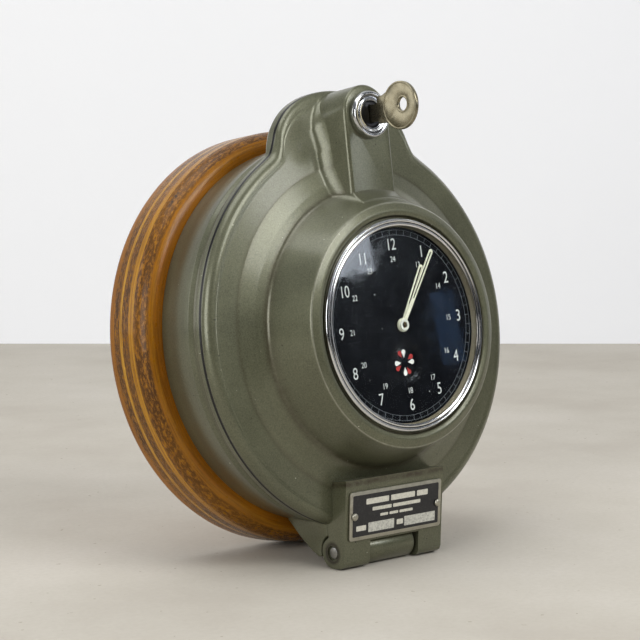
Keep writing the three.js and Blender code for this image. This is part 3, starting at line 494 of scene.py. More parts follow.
COVER_FRONT = [(49.4, 4.6), (49.4, 2.4, 0.3), (51.1, 2.4, 0.5), (51.7, 0.55, 1.0), (53.9, -0.15, 4.0),
               (57.95, 1.4, 1.5), (65.9, 22.7, 3.2), (71.5, 25.4, 20), (79.4, 28.15, 4.0), (88.0, 29.0)]
COVER_BACK = [(92.5, SEAM_Y), (92.5, 33.0), (90.5, 31.8), (78.5, 31.0), (67.5, 26.6), (64.6, 25.0),
              (62.6, 21.6), (56.2, 5.2)]
rim_round = [(89.2, flange_y(89.2))] + [(90.4 + 5.2 * math.sin(a), SEAM_Y - 5.05 * math.cos(a))
                                        for a in [math.radians(i * 9) for i in range(1, 11)]]
rim_round = dense(rim_round[:2], 0.15) + rim_round[2:]
front = dense(fillet_path(COVER_FRONT, 6, closed=False), 1.6)
cover_bm = spun(front + rim_round + COVER_BACK, 420)
for vert in cover_bm.verts:
    turn, radius = polar(vert.co)
    y = vert.co.y
    rim = rim_radius(turn)
    inner = radius < 93.0 and y > 29.9 and radius > 66
    if inner and radius > 85:
        reach = 85 + (radius - 85) * (rim - 3.1 - 85) / 7.5
        y = min(SEAM_Y, y + 0.13 * (reach - radius))
        radius = reach
    elif radius > 88.05 and not inner:
        if radius <= 90.4:
            reach = 88 + (radius - 88) * (rim - 5.2 - 88) / 2.4
            y = y + 0.13 * (reach - radius)
        else:
            reach = radius + rim - RIM
            top = flange_y(rim - 5.2)
            share = (y - 29.15) / (SEAM_Y - 29.15)
            y = top + (SEAM_Y - top) * share
        radius = reach
    x, z = radius * math.sin(math.radians(turn)), radius * math.cos(math.radians(turn))
    if z > 50 and not inner and y > 8 and radius < 114:
        fade = 1 - smoothstep(100, 114, radius)
        lifted = smooth_min(y, tower_depth(x, z, 0.3) + 1.5, 16.0)
        y += (lifted - y) * fade
    set_polar(vert, turn, radius, y)
tower_hole = slab([(13.0, 67)] + arc(0, 101.8, 13.0, 0, 180, 16) + [(-13.0, 67)], 12, 40)
cover_bm = boolean(cover_bm, tower_hole)
cover = piece("front_cover_pressing", cover_bm, COVER_PAINT, "cover", ["front_cover"], 40)
print("cover faces:", len(cover.data.polygons))

# %% [markdown]
# The lock tower is a tapered box with an arched top, drawn as its front outline and widened towards
# the back. It is hollow, and the lock's barrel passes through a round hole in its front.

# %% Lock tower
LOCK_Z = 100.9


def tower_outline(half, top, low=58.0):
    return [(half, low)] + arc(0, top - half, half, 0, 180, 28) + [(-half, low)]


def tower_solid(y0, y1, shrink, soft=0.0):
    """The tower's wedge between two depths, made by extruding and widening its outline."""
    bm = bmesh.new()
    half = TOWER_HALF - shrink + TOWER_FLARE * (y0 - TOWER_FRONT)
    outline = tower_outline(half, TOWER_TOP - shrink)
    edges = new_loop(bm, [(x, y0, z) for x, z in outline])
    face = bmesh.ops.contextual_create(bm, geom=edges)["faces"][0]
    result = bmesh.ops.extrude_face_region(bm, geom=[face], use_keep_orig=True)
    back = [item for item in result["geom"] if isinstance(item, bmesh.types.BMVert)]
    wide = half + TOWER_FLARE * (y1 - y0)
    for vert in back:
        vert.co.y = y1
        vert.co.x *= wide / half
        if vert.co.z > 60:
            top_gap = (TOWER_TOP - shrink - vert.co.z) * wide / half
            vert.co.z = TOWER_TOP - shrink - top_gap - 0.03 * (y1 - y0)
    bmesh.ops.recalc_face_normals(bm, faces=bm.faces)
    if soft:
        edge = [e for e in bm.edges if all(abs(v.co.y - y0) < 1e-4 for v in e.verts)]
        bmesh.ops.bevel(bm, geom=edge, offset=soft, segments=5, profile=0.5, affect="EDGES",
                        clamp_overlap=True, material=-1)
    return bm


tower_bm = tower_solid(TOWER_FRONT, SEAM_Y, 0, 1.5)
tower_bm = boolean(tower_bm, tower_solid(TOWER_FRONT + 2.8, SEAM_Y + 2, 2.8))
barrel_hole = moved(slab(circle(9.5, 64), 10, 20), Matrix.Translation((0, 0, LOCK_Z)))
tower_bm = boolean(tower_bm, barrel_hole)
COVER_ROOM = [(0, 5.2), (56.2, 5.2), (62.6, 21.6), (64.6, 25.0), (67.5, 26.6), (78.5, 31.0)]
room = spun(COVER_ROOM + [(88, 31.6), (88, 40), (0, 40)], 160, closed=False)
tower_bm = boolean(tower_bm, room)
tower = piece("lock_tower_shell", tower_bm, TOWER_PAINT, "cover", ["front_cover"], 35)
print("tower faces:", len(tower.data.polygons))

# %% [markdown]
# The hinge block is welded to the cover's lower edge. Its front slopes back and carries the nameplate,
# and its two ears hold the hinge pin on either side of the case's knuckle.

# %% Hinge block
PIN_Y = 32.1
PIN_Z = -103.8
EAR = 7.6
EAR_X = 31.7
SLOPE = 0.18
PLATE_TOP_Y = 18.7
PLATE_TOP_Z = -75.4


def across(outline, x0, x1):
    """An outline in Y and Z, carried along X."""
    bm = bmesh.new()
    edges = new_loop(bm, [(x0, y, z) for y, z in outline])
    bmesh.ops.triangle_fill(bm, use_beauty=True, use_dissolve=True, edges=edges)
    return thicken(bm, Vector((x1 - x0, 0, 0)))


def pin_rod(radius, x0, x1, count=40):
    return across(circle(radius, count, PIN_Y, PIN_Z), x0, x1)


def block_front(z):
    return PLATE_TOP_Y + SLOPE * (PLATE_TOP_Z - z)


block_outline = [(SEAM_Y, -70), (block_front(-70), -70), (block_front(-108.8), -108.8),
                 (block_front(-108.8) + 0.9, -110.6), (27.6, PIN_Z - EAR)]
block_outline += arc(PIN_Y, PIN_Z, EAR, -90, 74, 22)
block_bm = across(block_outline, -EAR_X, EAR_X)
ends = [e for e in block_bm.edges if all(abs(abs(v.co.x) - EAR_X) < 1e-4 for v in e.verts)
        and max(v.co.z for v in e.verts) < -70.5]
bmesh.ops.bevel(block_bm, geom=ends, offset=2.2, segments=5, profile=0.5, affect="EDGES",
                clamp_overlap=True, material=-1)
for tool in (across([(18, -113), (45, -113), (45, -99.6), (18, -99.6)], -15.3, 16.4),
             pin_rod(EAR + 0.7, -15.3, 16.4), pin_rod(3.0, -40, 40),
             pin_rod(3.7, -40, -EAR_X + 0.9), pin_rod(3.7, EAR_X - 0.9, 40),
             spun(COVER_ROOM + [(90.5, 31.8), (92.5, 33), (92.8, 40), (0, 40)], 120, closed=False)):
    block_bm = boolean(block_bm, tool)
block = piece("hinge_block_casting", block_bm, BLOCK_PAINT, "cover", ["front_cover"], 35)
print("block faces:", len(block.data.polygons))

# %% [markdown]
# ## Rear case
#
# A drum with a rolled lip, a groove behind the lip and a slightly tapering wall. The lip follows the
# lobe at the top, and a gusset at the bottom carries the hinge's knuckle.

# %% Rear case
case_profile = fillet_path([(RIM, CASE_Y, 0.5), (RIM, 37.6, 0.9), (94.6, 38.9, 0.6), (93.2, 40.1, 0.7),
                            (93.3, 42.4, 1.2), (94.4, 45.0, 1.5), (94.2, 48.5, 3), (92.0, 68.5, 0.5),
                            (0.001, 68.5), (0.001, 65.7), (86.5, 65.7, 2), (89.2, 62.5), (90.8, 47),
                            (90.5, 41), (92.6, 38), (92.8, CASE_Y)], 5)
case_bm = spun(case_profile, 420)
for vert in case_bm.verts:
    turn, radius = polar(vert.co)
    y = vert.co.y
    if radius > 92.3 and y < 39.6:
        rim = rim_radius(turn)
        y += 1.3 * smoothstep(0, 6, rim - RIM) * smoothstep(35.5, 37.4, y)
        radius += rim - RIM
    set_polar(vert, turn, radius, y)
rear = piece("rear_case_drum", case_bm, CASE_PAINT, "case", ["rear_case"], 40)

lug = across([(CASE_Y, -80)] + arc(PIN_Y, PIN_Z, EAR + 0.9, 73, -12, 12)
             + [(42.9, -105.7), (48.2, -102), (54.8, -96.4), (62.6, -88.3), (66, -80)], -EAR_X, EAR_X)
knuckle_bridge = across([(CASE_Y, -88), (CASE_Y, PIN_Z), (39.6, PIN_Z), (42.6, -105.4), (50, -95)], -15, 14.3)
drum_room = spun([(0, CASE_Y - 1), (92.8, CASE_Y - 1), (92.6, 38), (90.5, 41), (90.8, 47), (89.2, 62.5),
                  (86.5, 65.7), (0, 65.7)], 120, closed=False)
lug = boolean(soften(lug, 0.8, 3), drum_room)
lug = boolean(lug, pin_rod(3.0, -40, 40))
knuckle = soften(pin_rod(EAR - 0.1, -15, 14.3, 56), 0.5, 3)
knuckle = boolean(knuckle, knuckle_bridge, "UNION")
knuckle = boolean(knuckle, pin_rod(3.0, -40, 40))
piece("hinge_gusset", lug, BLOCK_PAINT, "case", ["rear_case"], 35)
piece("hinge_knuckle", knuckle, BLOCK_PAINT, "case", ["rear_case"], 35)
print("rear case faces:", len(rear.data.polygons))

# %% [markdown]
# ## Wood board
#
# The board is turned from thick beech plywood, stained and varnished. The plies lie crosswise, so
# round the edge some show long grain as fine streaks and others show end grain, which drank more
# stain and is full of short open pores.

# %% Laminated wood
BOARD_FRONT = 68.8
BOARD_BACK = 99.0
BOARD_RADIUS = 102.3


def laminated():
    """Dark and pale plies under old varnish: streaks on the long grain, pits on the end grain."""
    f = Finish("varnished_laminated_beech", Roughness=0.42, Specular_IOR_Level=0.2, Coat_Weight=0.15,
               Coat_Roughness=0.14)
    point = f.case()
    parts = f.add("SeparateXYZ", point, out=None)
    wave = f.add("TexNoise", Vector=point, Scale=0.03, Detail=3, Roughness=0.5)
    depth = f.add("Math", parts["Y"], f.add("MapRange", wave, 0.3, 0.7, -0.4, 0.4), operation="ADD")
    share = f.add("MapRange", depth, BOARD_FRONT, BOARD_BACK)
    plies = f.add("ValToRGB", share,
                  stops=[(0.0, "8c5310"), (0.012, "92580f"), (0.022, "a06c18"), (0.05, "965f12"),
                         (0.062, "845410"), (0.265, "7c4c0e"), (0.28, "bd8a20"), (0.39, "b5801c"),
                         (0.405, "6c420c"), (0.56, "643c0c"), (0.572, "cc9c38"), (0.63, "c38e28"),
                         (0.645, "6c420e"), (0.76, "75490e"), (0.78, "965f16"), (1.0, "814e12")])
    cross = f.add("ValToRGB", share,
                  stops=[(0.0, "101010"), (0.05, "202020"), (0.07, "ffffff"), (0.26, "ffffff"),
                         (0.28, "000000"), (0.395, "000000"), (0.41, "ffffff"), (0.56, "ffffff"),
                         (0.572, "000000"), (0.63, "000000"), (0.65, "ffffff"), (0.76, "ffffff"),
                         (0.79, "303030")])
    round_edge = f.add("Math", f.add("Math", parts["X"], parts["Z"], operation="ARCTAN2"), 102.0,
                       operation="MULTIPLY")
    rolled = f.add("CombineXYZ", round_edge, parts["Y"], f.radius(parts))
    along = f.add("Mapping", Vector=rolled, Scale=(0.05, 1.7, 1.2))
    lines = f.add("TexNoise", Vector=along, Scale=1.0, Detail=4, Roughness=0.6)
    base = f.add("Mix", f.add("MapRange", lines, 0.42, 0.62, 0.0, 0.7), plies, colour("5e3608"),
                 data_type="RGBA")
    pores = f.add("TexNoise", Vector=f.add("Mapping", Vector=rolled, Scale=(0.3, 0.85, 0.8)), Scale=1.0,
                  Detail=5, Roughness=0.75)
    mottle = f.add("Math", f.add("MapRange", pores, 0.45, 0.53),
                   f.add("Math", cross, 0.16, operation="ADD"), operation="MULTIPLY")
    base = f.add("Mix", f.add("Math", mottle, 0.92, operation="MULTIPLY"), base, colour("2e1806"),
                 data_type="RGBA")
    pale = f.add("Math", f.add("MapRange", pores, 0.44, 0.36), cross, operation="MULTIPLY")
    base = f.add("Mix", f.add("Math", pale, 0.5, operation="MULTIPLY"), base, colour("b98a34"),
                 data_type="RGBA")
    cracks = f.add("TexNoise", Vector=f.add("Mapping", Vector=rolled, Scale=(0.22, 1.6, 1.0)), Scale=1.0,
                   Detail=3, Roughness=0.8)
    crack = f.add("Math", f.add("MapRange", cracks, 0.62, 0.66),
                  f.add("Math", cross, 0.15, operation="ADD"), operation="MULTIPLY")
    base = f.add("Mix", crack, base, colour("1d1009"), data_type="RGBA")
    warm = f.add("TexNoise", Vector=point, Scale=0.016, Detail=2, Roughness=0.5)
    base = f.add("Mix", f.add("MapRange", warm, 0.35, 0.65, 0.0, 0.35), base, colour("b07412"),
                 data_type="RGBA")
    gouge = f.add("Math", f.band(parts["Y"], 73.8, 1.4), f.band(parts["Z"], 70.0, 7.0),
                  operation="MULTIPLY")
    gouge = f.add("Math", gouge, f.add("MapRange", parts["X"], -50.0, -55.0), operation="MULTIPLY")
    gouge = f.add("Math", gouge,
                  f.add("MapRange", f.add("TexNoise", Vector=point, Scale=0.5, Detail=2, Roughness=0.6),
                        0.42, 0.55), operation="MULTIPLY")
    base = f.add("Mix", gouge, base, colour("150d08"), data_type="RGBA")
    veneer = f.add("TexNoise", Vector=f.add("Mapping", Vector=point, Scale=(0.5, 0.5, 0.012)), Scale=1.0,
                   Detail=5, Roughness=0.65)
    face = f.add("ValToRGB", veneer, stops=[(0.3, "6e4410"), (0.5, "8f5c1c"), (0.7, "a8742a")])
    base = f.add("Mix", f.add("MapRange", parts["Y"], 98.3, 98.9), base, face, data_type="RGBA")
    f.set("Base Color", base)
    f.set("Roughness", f.add("MapRange", pores, 0.35, 0.65, 0.24, 0.42))
    height = f.add("Math", f.add("Math", lines, 0.4, operation="MULTIPLY"),
                   f.add("Math", mottle, 0.5, operation="MULTIPLY"), operation="SUBTRACT")
    f.set("Normal",
          f.add("Bump", Height=f.add("Math", height, crack, operation="SUBTRACT"), Strength=0.35,
                Distance=0.25 * MM))
    return f.material


WOOD = laminated()
board_profile = fillet_path([(0.001, BOARD_FRONT), (BOARD_RADIUS, BOARD_FRONT, 9.0),
                             (BOARD_RADIUS, BOARD_BACK, 4.5), (0.001, BOARD_BACK)], 12)
board = piece("wood_board_turned", spun(board_profile, 300), WOOD, "case", ["wood_board"], 40)
print("board faces:", len(board.data.polygons))

# %% [markdown]
# ## Bright parts
#
# The bezel and the lock collar are chromed brass, the pins and screws plain bright steel, and the
# key a worn nickel-brass. Each gets faint smears and scratches so that no face is perfectly even.

# %% Metals
def metal(name, base, dirt, roughness, scratch=0.25, dirt_share=0.4, dark_rings=(), centre_z=0.0):
    """A bare metal: base colour, a dirt colour in cloudy patches and optional darker rings at given radii."""
    f = Finish(name, Metallic=1.0)
    point = f.case()
    cloud = f.add("TexNoise", Vector=point, Scale=0.3, Detail=5, Roughness=0.7)
    tone = f.add("Mix", f.add("MapRange", cloud, 0.45, 0.75, 0.0, dirt_share), colour(base), colour(dirt),
                 data_type="RGBA")
    if dark_rings:
        near = f.add("Mapping", Vector=point, Location=(0, 0, -centre_z))
        radius = f.radius(f.add("SeparateXYZ", near, out=None))
        for centre, half, strength in dark_rings:
            share = f.add("Math", f.band(radius, centre, half), strength, operation="MULTIPLY")
            tone = f.add("Mix", share, tone, colour(dirt), data_type="RGBA")
    f.set("Base Color", tone)
    fine = f.add("TexNoise", Vector=f.add("Mapping", Vector=point, Scale=(0.6, 6.0, 2.2)), Scale=1.0,
                 Detail=4, Roughness=0.7)
    f.set("Roughness", f.add("MapRange", fine, 0.3, 0.7, roughness * 0.8, roughness * 1.3))
    f.set("Normal", f.add("Bump", Height=fine, Strength=scratch, Distance=0.03 * MM))
    return f.material


# Darker rings in the bezel's groove and at its inner edge, and in the collar's step.
CHROME = metal("chromed_brass", "d9dadb", "5c5342", 0.1, 0.1, 0.2, [(48.35, 0.4, 0.9), (46.6, 0.35, 0.7)])
COLLAR = metal("chromed_lock_collar", "c9cacb", "3d3a34", 0.14, 0.15, 0.35, [(8.9, 0.5, 0.6)], LOCK_Z)
STEEL = metal("bright_steel", "a3a39f", "4b4438", 0.3)
DARK_STEEL = metal("blued_steel", "3a3a3c", "1d1a17", 0.35)
BRASS = metal("lacquered_brass", "b8944e", "6a4c22", 0.26)
KEY_METAL = metal("worn_nickel_brass", "918a74", "5b5138", 0.27, 0.4, 0.6)
ALUMINIUM = metal("printed_aluminium", "b9b6a8", "77705f", 0.42, 0.3)


# %% [markdown]
# The hinge pin is a plain rod with chamfered ends that sit in shallow recesses in the ears.

# %% Hinge pin
pin_bm = soften(pin_rod(2.7, -31.2, 31.2), 0.35, 2)
piece("hinge_pin_rod", pin_bm, STEEL, "case", ["hinge_pin"])

# %% [markdown]
# ## Nameplate
#
# A thin aluminium plate, etched and filled with black. The printing is left as plain bars and two
# blank fields, where a works would stamp its own numbers. Two drive rivets hold it.

# %% Nameplate
def printed(name, base, roughness=0.45, grain=0.12, dirt="3a342a", metallic=0.0):
    """A flat printed colour with slight wear."""
    f = Finish(name, Metallic=metallic)
    point = f.case()
    wear = f.add("TexNoise", Vector=point, Scale=0.8, Detail=5, Roughness=0.75)
    f.set("Base Color",
          f.add("Mix", f.add("MapRange", wear, 0.45, 0.8, 0.0, grain * 4), colour(base), colour(dirt),
                data_type="RGBA"))
    f.set("Roughness", f.add("MapRange", wear, 0.3, 0.7, roughness * 0.85, roughness * 1.2))
    f.set("Normal", f.add("Bump", Height=wear, Strength=0.08, Distance=0.05 * MM))
    return f.material


def rounded(half_x, half_z, radius, x=0.0, z=0.0, count=5):
    """A rectangle with rounded corners."""
    outline = []
    for sx, sz, start in ((1, 1, 0), (-1, 1, 90), (-1, -1, 180), (1, -1, 270)):
        centre_x, centre_z = x + sx * (half_x - radius), z + sz * (half_z - radius)
        outline += arc(centre_x, centre_z, radius, start, start + 90, count)
    return outline


PLATE_MID_Z = PLATE_TOP_Z - 11.6
PLATE_MIDDLE = Matrix.Translation((0, block_front(PLATE_MID_Z), PLATE_MID_Z))
ON_SLOPE = CASE @ PLATE_MIDDLE @ Matrix.Rotation(math.atan(SLOPE), 4, "X")
plate_bm = slab(rounded(29.65, 11.6, 1.3), -1.1, -0.3, 0.12, 2)
piece("nameplate_sheet", plate_bm, ALUMINIUM, "cover", ["nameplate"], place=ON_SLOPE)
field_bm = slab(rounded(27.9, 9.9, 0.6), -1.13, -1.09)
piece("nameplate_field", field_bm, printed("black_etch_fill", "17171a", 0.4, 0.08, "54504a"), "cover",
      place=ON_SLOPE)
bars = []
for z, height, spans in ((6.3, 2.7, ((-19.5, -5.0), (-3.6, 12.0), (13.4, 20.6))),
                         (2.4, 1.7, ((-15.5, -3.2), (-2.2, 15.8))),
                         (-1.0, 1.3, ((-10.4, -5.4), (-4.4, 1.2), (2.1, 10.8))),
                         (-6.0, 2.5, ((-25.6, -19.4), (0.4, 4.6)))):
    for x0, x1 in spans:
        bars.append(slab(rounded((x1 - x0) / 2, height / 2, 0.35, (x0 + x1) / 2, z, 2), -1.16, -1.12))
piece("nameplate_bars", gathered(*bars), printed("bare_aluminium_print", "d5d2c4", 0.5, 0.1), "cover",
      place=ON_SLOPE)
blanks = [slab(rounded(w / 2, 2.3, 0.3, x, -6.2, 2), -1.17, -1.12) for x, w in ((-9.6, 16.6), (15.6, 20.4))]
SCUFFED = printed("scuffed_blank_field", "c9c8bd", 0.5, 0.22, "4c4a44")
piece("nameplate_blank_fields", gathered(*blanks), SCUFFED, "cover", place=ON_SLOPE)
for side, x in (("left", -27.0), ("right", 27.0)):
    dome = fillet_path([(0.001, -2.5), (1.5, -2.4, 0.9), (2.0, -1.35, 0.3), (1.0, -1.35), (1.0, 3.4),
                        (0.001, 3.4)], 5)
    rivet_bm = moved(spun(dome, 32), Matrix.Translation((x, 0, 0)))
    piece("nameplate_rivet_head_" + side, rivet_bm, ALUMINIUM, "cover",
          ["nameplate_rivet_" + side], place=ON_SLOPE)
print("nameplate pieces: 6")

# %% [markdown]
# ## Bezel and glass
#
# The bezel is spun brass, chromed, with a fine groove between its two bright rings. A flat glass
# sits behind its lip, and a painted spacer ring keeps the glass off the dial.

# %% Bezel and glass
bezel_profile = fillet_path([(46.6, 0.2), (46.65, -0.15, 0.2), (47.5, -0.4, 0.35), (48.1, -0.1, 0.12),
                             (48.2, 0.1), (48.45, 0.1), (48.55, -0.2, 0.12), (49.3, -0.55, 0.45),
                             (50.1, 0.2, 0.5), (50.1, 2.0, 0.2), (49.1, 2.0), (49.1, 8.6), (47.9, 8.6),
                             (47.9, 0.2)], 5)
piece("bezel_spun_ring", spun(bezel_profile, 320), CHROME, "cover", ["bezel_ring"], 45)


def clear_glass():
    """Polished float glass with faint smears. Its shadow rays pass, so the dial stays lit."""
    f = Finish("clear_flat_glass", Roughness=0.02, IOR=1.5)
    f.set("Transmission Weight", 1.0)
    f.set("Base Color", colour("f4f8f8"))
    smear = f.add("TexNoise", Vector=f.case(), Scale=0.12, Detail=4, Roughness=0.6)
    f.set("Roughness", f.add("MapRange", smear, 0.35, 0.75, 0.0, 0.09))
    shadow = f.add("LightPath", out="Is Shadow Ray")
    clear = f.add("BsdfTransparent")
    both = f.add("MixShader", shadow, f.shader.outputs[0], clear)
    f.tree.links.new(both, f.output.inputs["Surface"])
    return f.material


glass_profile = fillet_path([(0.001, 0.5), (47.0, 0.5), (47.6, 0.5, 0.15), (47.6, 1.65, 0.15), (47.0, 1.65),
                             (0.001, 1.65)], 2)
piece("dial_glass_disc", spun(glass_profile, 200), clear_glass(), "cover", ["dial_glass"], 30)
spacer_profile = [(47.0, 1.95), (47.6, 1.95), (47.6, 4.0), (46.2, 4.0)]
SPACER = printed("grimy_spacer_paint", "746b56", 0.5, 0.16, "3f341f")
piece("dial_spacer_ring", spun(spacer_profile, 200), SPACER, "cover", ["dial_spacer"], 30)

# %% [markdown]
# ## Dial
#
# Black lacquered brass with printed hours 1 to 24, a minute track and a dished recess for the
# running indicator. It sits three degrees anticlockwise of upright. Numerals are real printed
# shapes a few hundredths of a millimetre proud, because silkscreen ink stands on the surface.

# %% Dial
DIAL_Y = 4.3
DIAL_TURN = Matrix.Rotation(math.radians(-3), 4, "Y")
DIAL = CASE @ DIAL_TURN
DISH_DROP = 17.7


def lacquer(name, base="090a0d", roughness=0.14):
    """Black dip lacquer on brass: nearly smooth, with slight haze and a few grains of dust."""
    f = Finish(name, Specular_IOR_Level=0.22)
    point = f.case()
    haze = f.add("TexNoise", Vector=point, Scale=0.09, Detail=4, Roughness=0.6)
    dust = f.add("MapRange", f.add("TexNoise", Vector=point, Scale=0.75, Detail=1, Roughness=0.4), 0.8,
                 0.815)
    tone = f.add("Mix", f.add("MapRange", haze, 0.4, 0.75, 0.0, 0.5), colour(base), colour("111318"),
                 data_type="RGBA")
    f.set("Base Color", f.add("Mix", dust, tone, colour("8a8a88"), data_type="RGBA"))
    f.set("Roughness", f.add("MapRange", haze, 0.35, 0.7, roughness, roughness * 1.8))
    f.set("Normal", f.add("Bump", Height=haze, Strength=0.012, Distance=0.1 * MM))
    return f.material


LACQUER = lacquer("black_dial_lacquer")
INK = printed("dial_numeral_ink", "c8cac6", 0.5, 0.06)
dial_bm = slab(circle(47.6, 160), DIAL_Y, DIAL_Y + 0.8)
dial_bm = boolean(dial_bm, slab(circle(10.9, 72, 0, -DISH_DROP), 3, 8))
dial_bm = boolean(dial_bm, slab(circle(2.9, 32), 3, 8))
feet = [slab(circle(1.5, 20, x, 8), DIAL_Y + 0.4, 11.7) for x in (-38, 38)]
piece("dial_plate_disc", gathered(dial_bm, *feet), LACQUER, "cover", ["dial_plate"], 30, DIAL)
dish_profile = fillet_path([(10.85, 4.2), (10.85, 4.9), (7.6, 5.55), (7.6, 5.2, 0.2), (9.6, 5.0, 1.2),
                            (10.3, 4.22, 0.4)], 6)
dish_bm = moved(spun(dish_profile, 96), Matrix.Translation((0, 0, -DISH_DROP)))
piece("indicator_dish_ring", dish_bm, LACQUER, "cover", ["indicator_dish"], 40, DIAL)


def numeral(text, height, x, z, squeeze=0.84):
    """A printed number standing a little proud of the dial."""
    curve = bpy.data.curves.new("numeral", "FONT")
    curve.body = text
    curve.size = height / 0.7
    curve.align_x = "CENTER"
    curve.align_y = "CENTER"
    curve.resolution_u = 6
    curve.extrude = 0.012
    curve.space_character = 0.95
    item = bpy.data.objects.new("numeral", curve)
    bpy.context.scene.collection.objects.link(item)
    bpy.context.view_layer.update()
    mesh = bpy.data.meshes.new_from_object(item.evaluated_get(bpy.context.evaluated_depsgraph_get()))
    bm = bmesh.new()
    bm.from_mesh(mesh)
    for data, store in ((item, bpy.data.objects), (curve, bpy.data.curves), (mesh, bpy.data.meshes)):
        store.remove(data)
    up = Matrix.Translation((x, DIAL_Y - 0.02, z)) @ Matrix.Rotation(math.pi / 2, 4, "X")
    return moved(bm, up @ Matrix.Diagonal((squeeze, 1, 1, 1)))


def on_dial(radius, share):
    turn = 2 * math.pi * share
    return radius * math.sin(turn), radius * math.cos(turn)


hours = gathered(*[numeral(str(h), 5.5, *on_dial(38.0, h / 12)) for h in range(1, 13)])
piece("dial_hour_numerals", hours, INK, "cover", angle=30, place=DIAL)
afternoon = gathered(*[numeral(str(h + 12), 2.7, *on_dial(31.2, h / 12), 0.9) for h in range(1, 13)])
piece("dial_afternoon_numerals", afternoon, INK, "cover", angle=30, place=DIAL)
TRACK_INK = printed("faint_track_ink", "6e7277", 0.5, 0.1)
rings = [spun([(r - 0.07, DIAL_Y - 0.03), (r + 0.07, DIAL_Y - 0.03), (r + 0.07, DIAL_Y + 0.02),
               (r - 0.07, DIAL_Y + 0.02)], 240) for r in (42.6, 45.0)]
ticks = []
for minute in range(60):
    tick = slab([(-0.09, 42.6), (0.09, 42.6), (0.09, 45.0), (-0.09, 45.0)], DIAL_Y - 0.03, DIAL_Y + 0.02)
    ticks.append(moved(tick, Matrix.Rotation(math.radians(6 * minute), 4, "Y")))
piece("dial_minute_track", gathered(*rings, *ticks), TRACK_INK, "cover", angle=30, place=DIAL)
DOT_PLACES = ((17.2, 23.2), (12.2, -33.2), (-14.5, 16.0))
dots = [slab(circle(0.28, 12, x, z), DIAL_Y - 0.03, DIAL_Y + 0.02) for x, z in DOT_PLACES]
piece("dial_ink_dots", gathered(*dots), INK, "cover", angle=30, place=DIAL)
print("dial numerals: 24, ticks: 60")

# %% [markdown]
# The running indicator is a small black wheel behind the dish with four white teardrops, each
# backed by red, so that anyone passing can see that the clock is going.

# %% Running indicator
WHEEL_Y = 5.8
wheel_profile = fillet_path([(0.001, WHEEL_Y), (9.4, WHEEL_Y, 0.15), (9.4, 6.4, 0.15), (0.8, 6.4),
                             (0.8, 11.7), (0.001, 11.7)], 2)
DROP = Matrix.Translation((0, 0, -DISH_DROP))
piece("indicator_wheel_disc", moved(spun(wheel_profile, 64), DROP), LACQUER, "indicator",
      ["indicator_wheel"], 30, DIAL)


def petal(turn, y, near=2.2, far=6.2, wide=1.2):
    """A teardrop pointing at the wheel's centre."""
    outline = [(0, near)] + arc(0, far - wide, wide, -10, 190, 14)
    bm = slab(outline, y, y + 0.05)
    return moved(bm, DROP @ Matrix.Rotation(math.radians(turn), 4, "Y"))


QUARTERS = (0, 90, 180, 270)
red_petals = gathered(*[petal(turn - 27, WHEEL_Y - 0.04, 2.6, 6.4, 1.15) for turn in QUARTERS])
RED = printed("red_enamel", "a5201a", 0.35, 0.05)
piece("indicator_red_petals", red_petals, RED, "indicator", angle=30, place=DIAL)
white_petals = gathered(*[petal(turn + 2, WHEEL_Y - 0.06) for turn in QUARTERS])
WHITE = printed("white_enamel", "e9e6df", 0.35, 0.04)
piece("indicator_white_petals", white_petals, WHITE, "indicator", angle=30, place=DIAL)

# %% [markdown]
# ## Hands
#
# Stamped brass in cream enamel. Each is a slim bar with a round tip and a window along its outer
# half. The outline and the window are cut from one sheet.

# %% Hands
def sheet(outer, holes, y0, y1, bevel=0.0):
    """A flat sheet with holes."""
    bm = bmesh.new()
    edges = []
    for outline in [outer] + holes:
        edges += new_loop(bm, [(x, y0, z) for x, z in outline])
    bmesh.ops.triangle_fill(bm, use_beauty=True, use_dissolve=False, edges=edges)
    return thicken(bm, Vector((0, y1 - y0, 0)), bevel)


def hand(reach, half, hub, hole, y0, y1, turn):
    """A bar with a round tip and hub and a window along its outer part."""
    tip = half * 1.25
    lean = math.degrees(math.asin(half / hub))
    outline = arc(0, reach - tip, tip, 0, 180, 12) + arc(0, 0, hub, 90 + lean, 450 - lean, 40)
    slot_half = half * 0.42
    low, high = reach * 0.36, reach - tip - 0.5
    window = arc(0, high, slot_half, 0, 180, 6) + arc(0, low, slot_half, 180, 360, 6)
    bm = sheet(outline, [circle(hole, 32), window], y0, y1, 0.08)
    return moved(bm, Matrix.Rotation(math.radians(turn), 4, "Y"))


CREAM = printed("aged_cream_enamel", "dcdac2", 0.4, 0.08, "8b8262")
hour_bm = hand(32.0, 1.05, 3.2, 2.7, 3.45, 3.85, 30)
piece("hour_hand_stamped", hour_bm, CREAM, "hour_arbor", ["hour_hand"], 30)
minute_bm = hand(41.5, 0.95, 3.2, 1.6, 2.75, 3.15, 33.5)
piece("minute_hand_stamped", minute_bm, CREAM, "minute_arbor", ["minute_hand"], 30)
nut_profile = fillet_path([(1.5, 1.95), (2.8, 1.95, 0.25), (2.8, 2.45, 0.1), (1.5, 2.45)], 4)
HUB_CAP = printed("cream_hub_cap", "cfcfc4", 0.35, 0.06)
piece("hand_nut_ring", spun(nut_profile, 48), HUB_CAP, "minute_arbor", ["hand_nut"], 40)
screw_bm = spun(fillet_path([(0.001, 1.98), (1.3, 1.98, 0.3), (1.3, 2.7), (0.001, 2.7)], 3), 32)
screw_bm = boolean(screw_bm, slab([(-0.2, -2), (0.2, -2), (0.2, 2), (-0.2, 2)], 1.5, 2.25))
piece("arbor_end_screw", screw_bm, DARK_STEEL, "minute_arbor")

# %% [markdown]
# ## Lock and key
#
# A cabinet cam lock: a stepped collar, a plug with a keyway, and a flat key with a rolled rim round
# its bow. The key is left in the lock, standing upright.

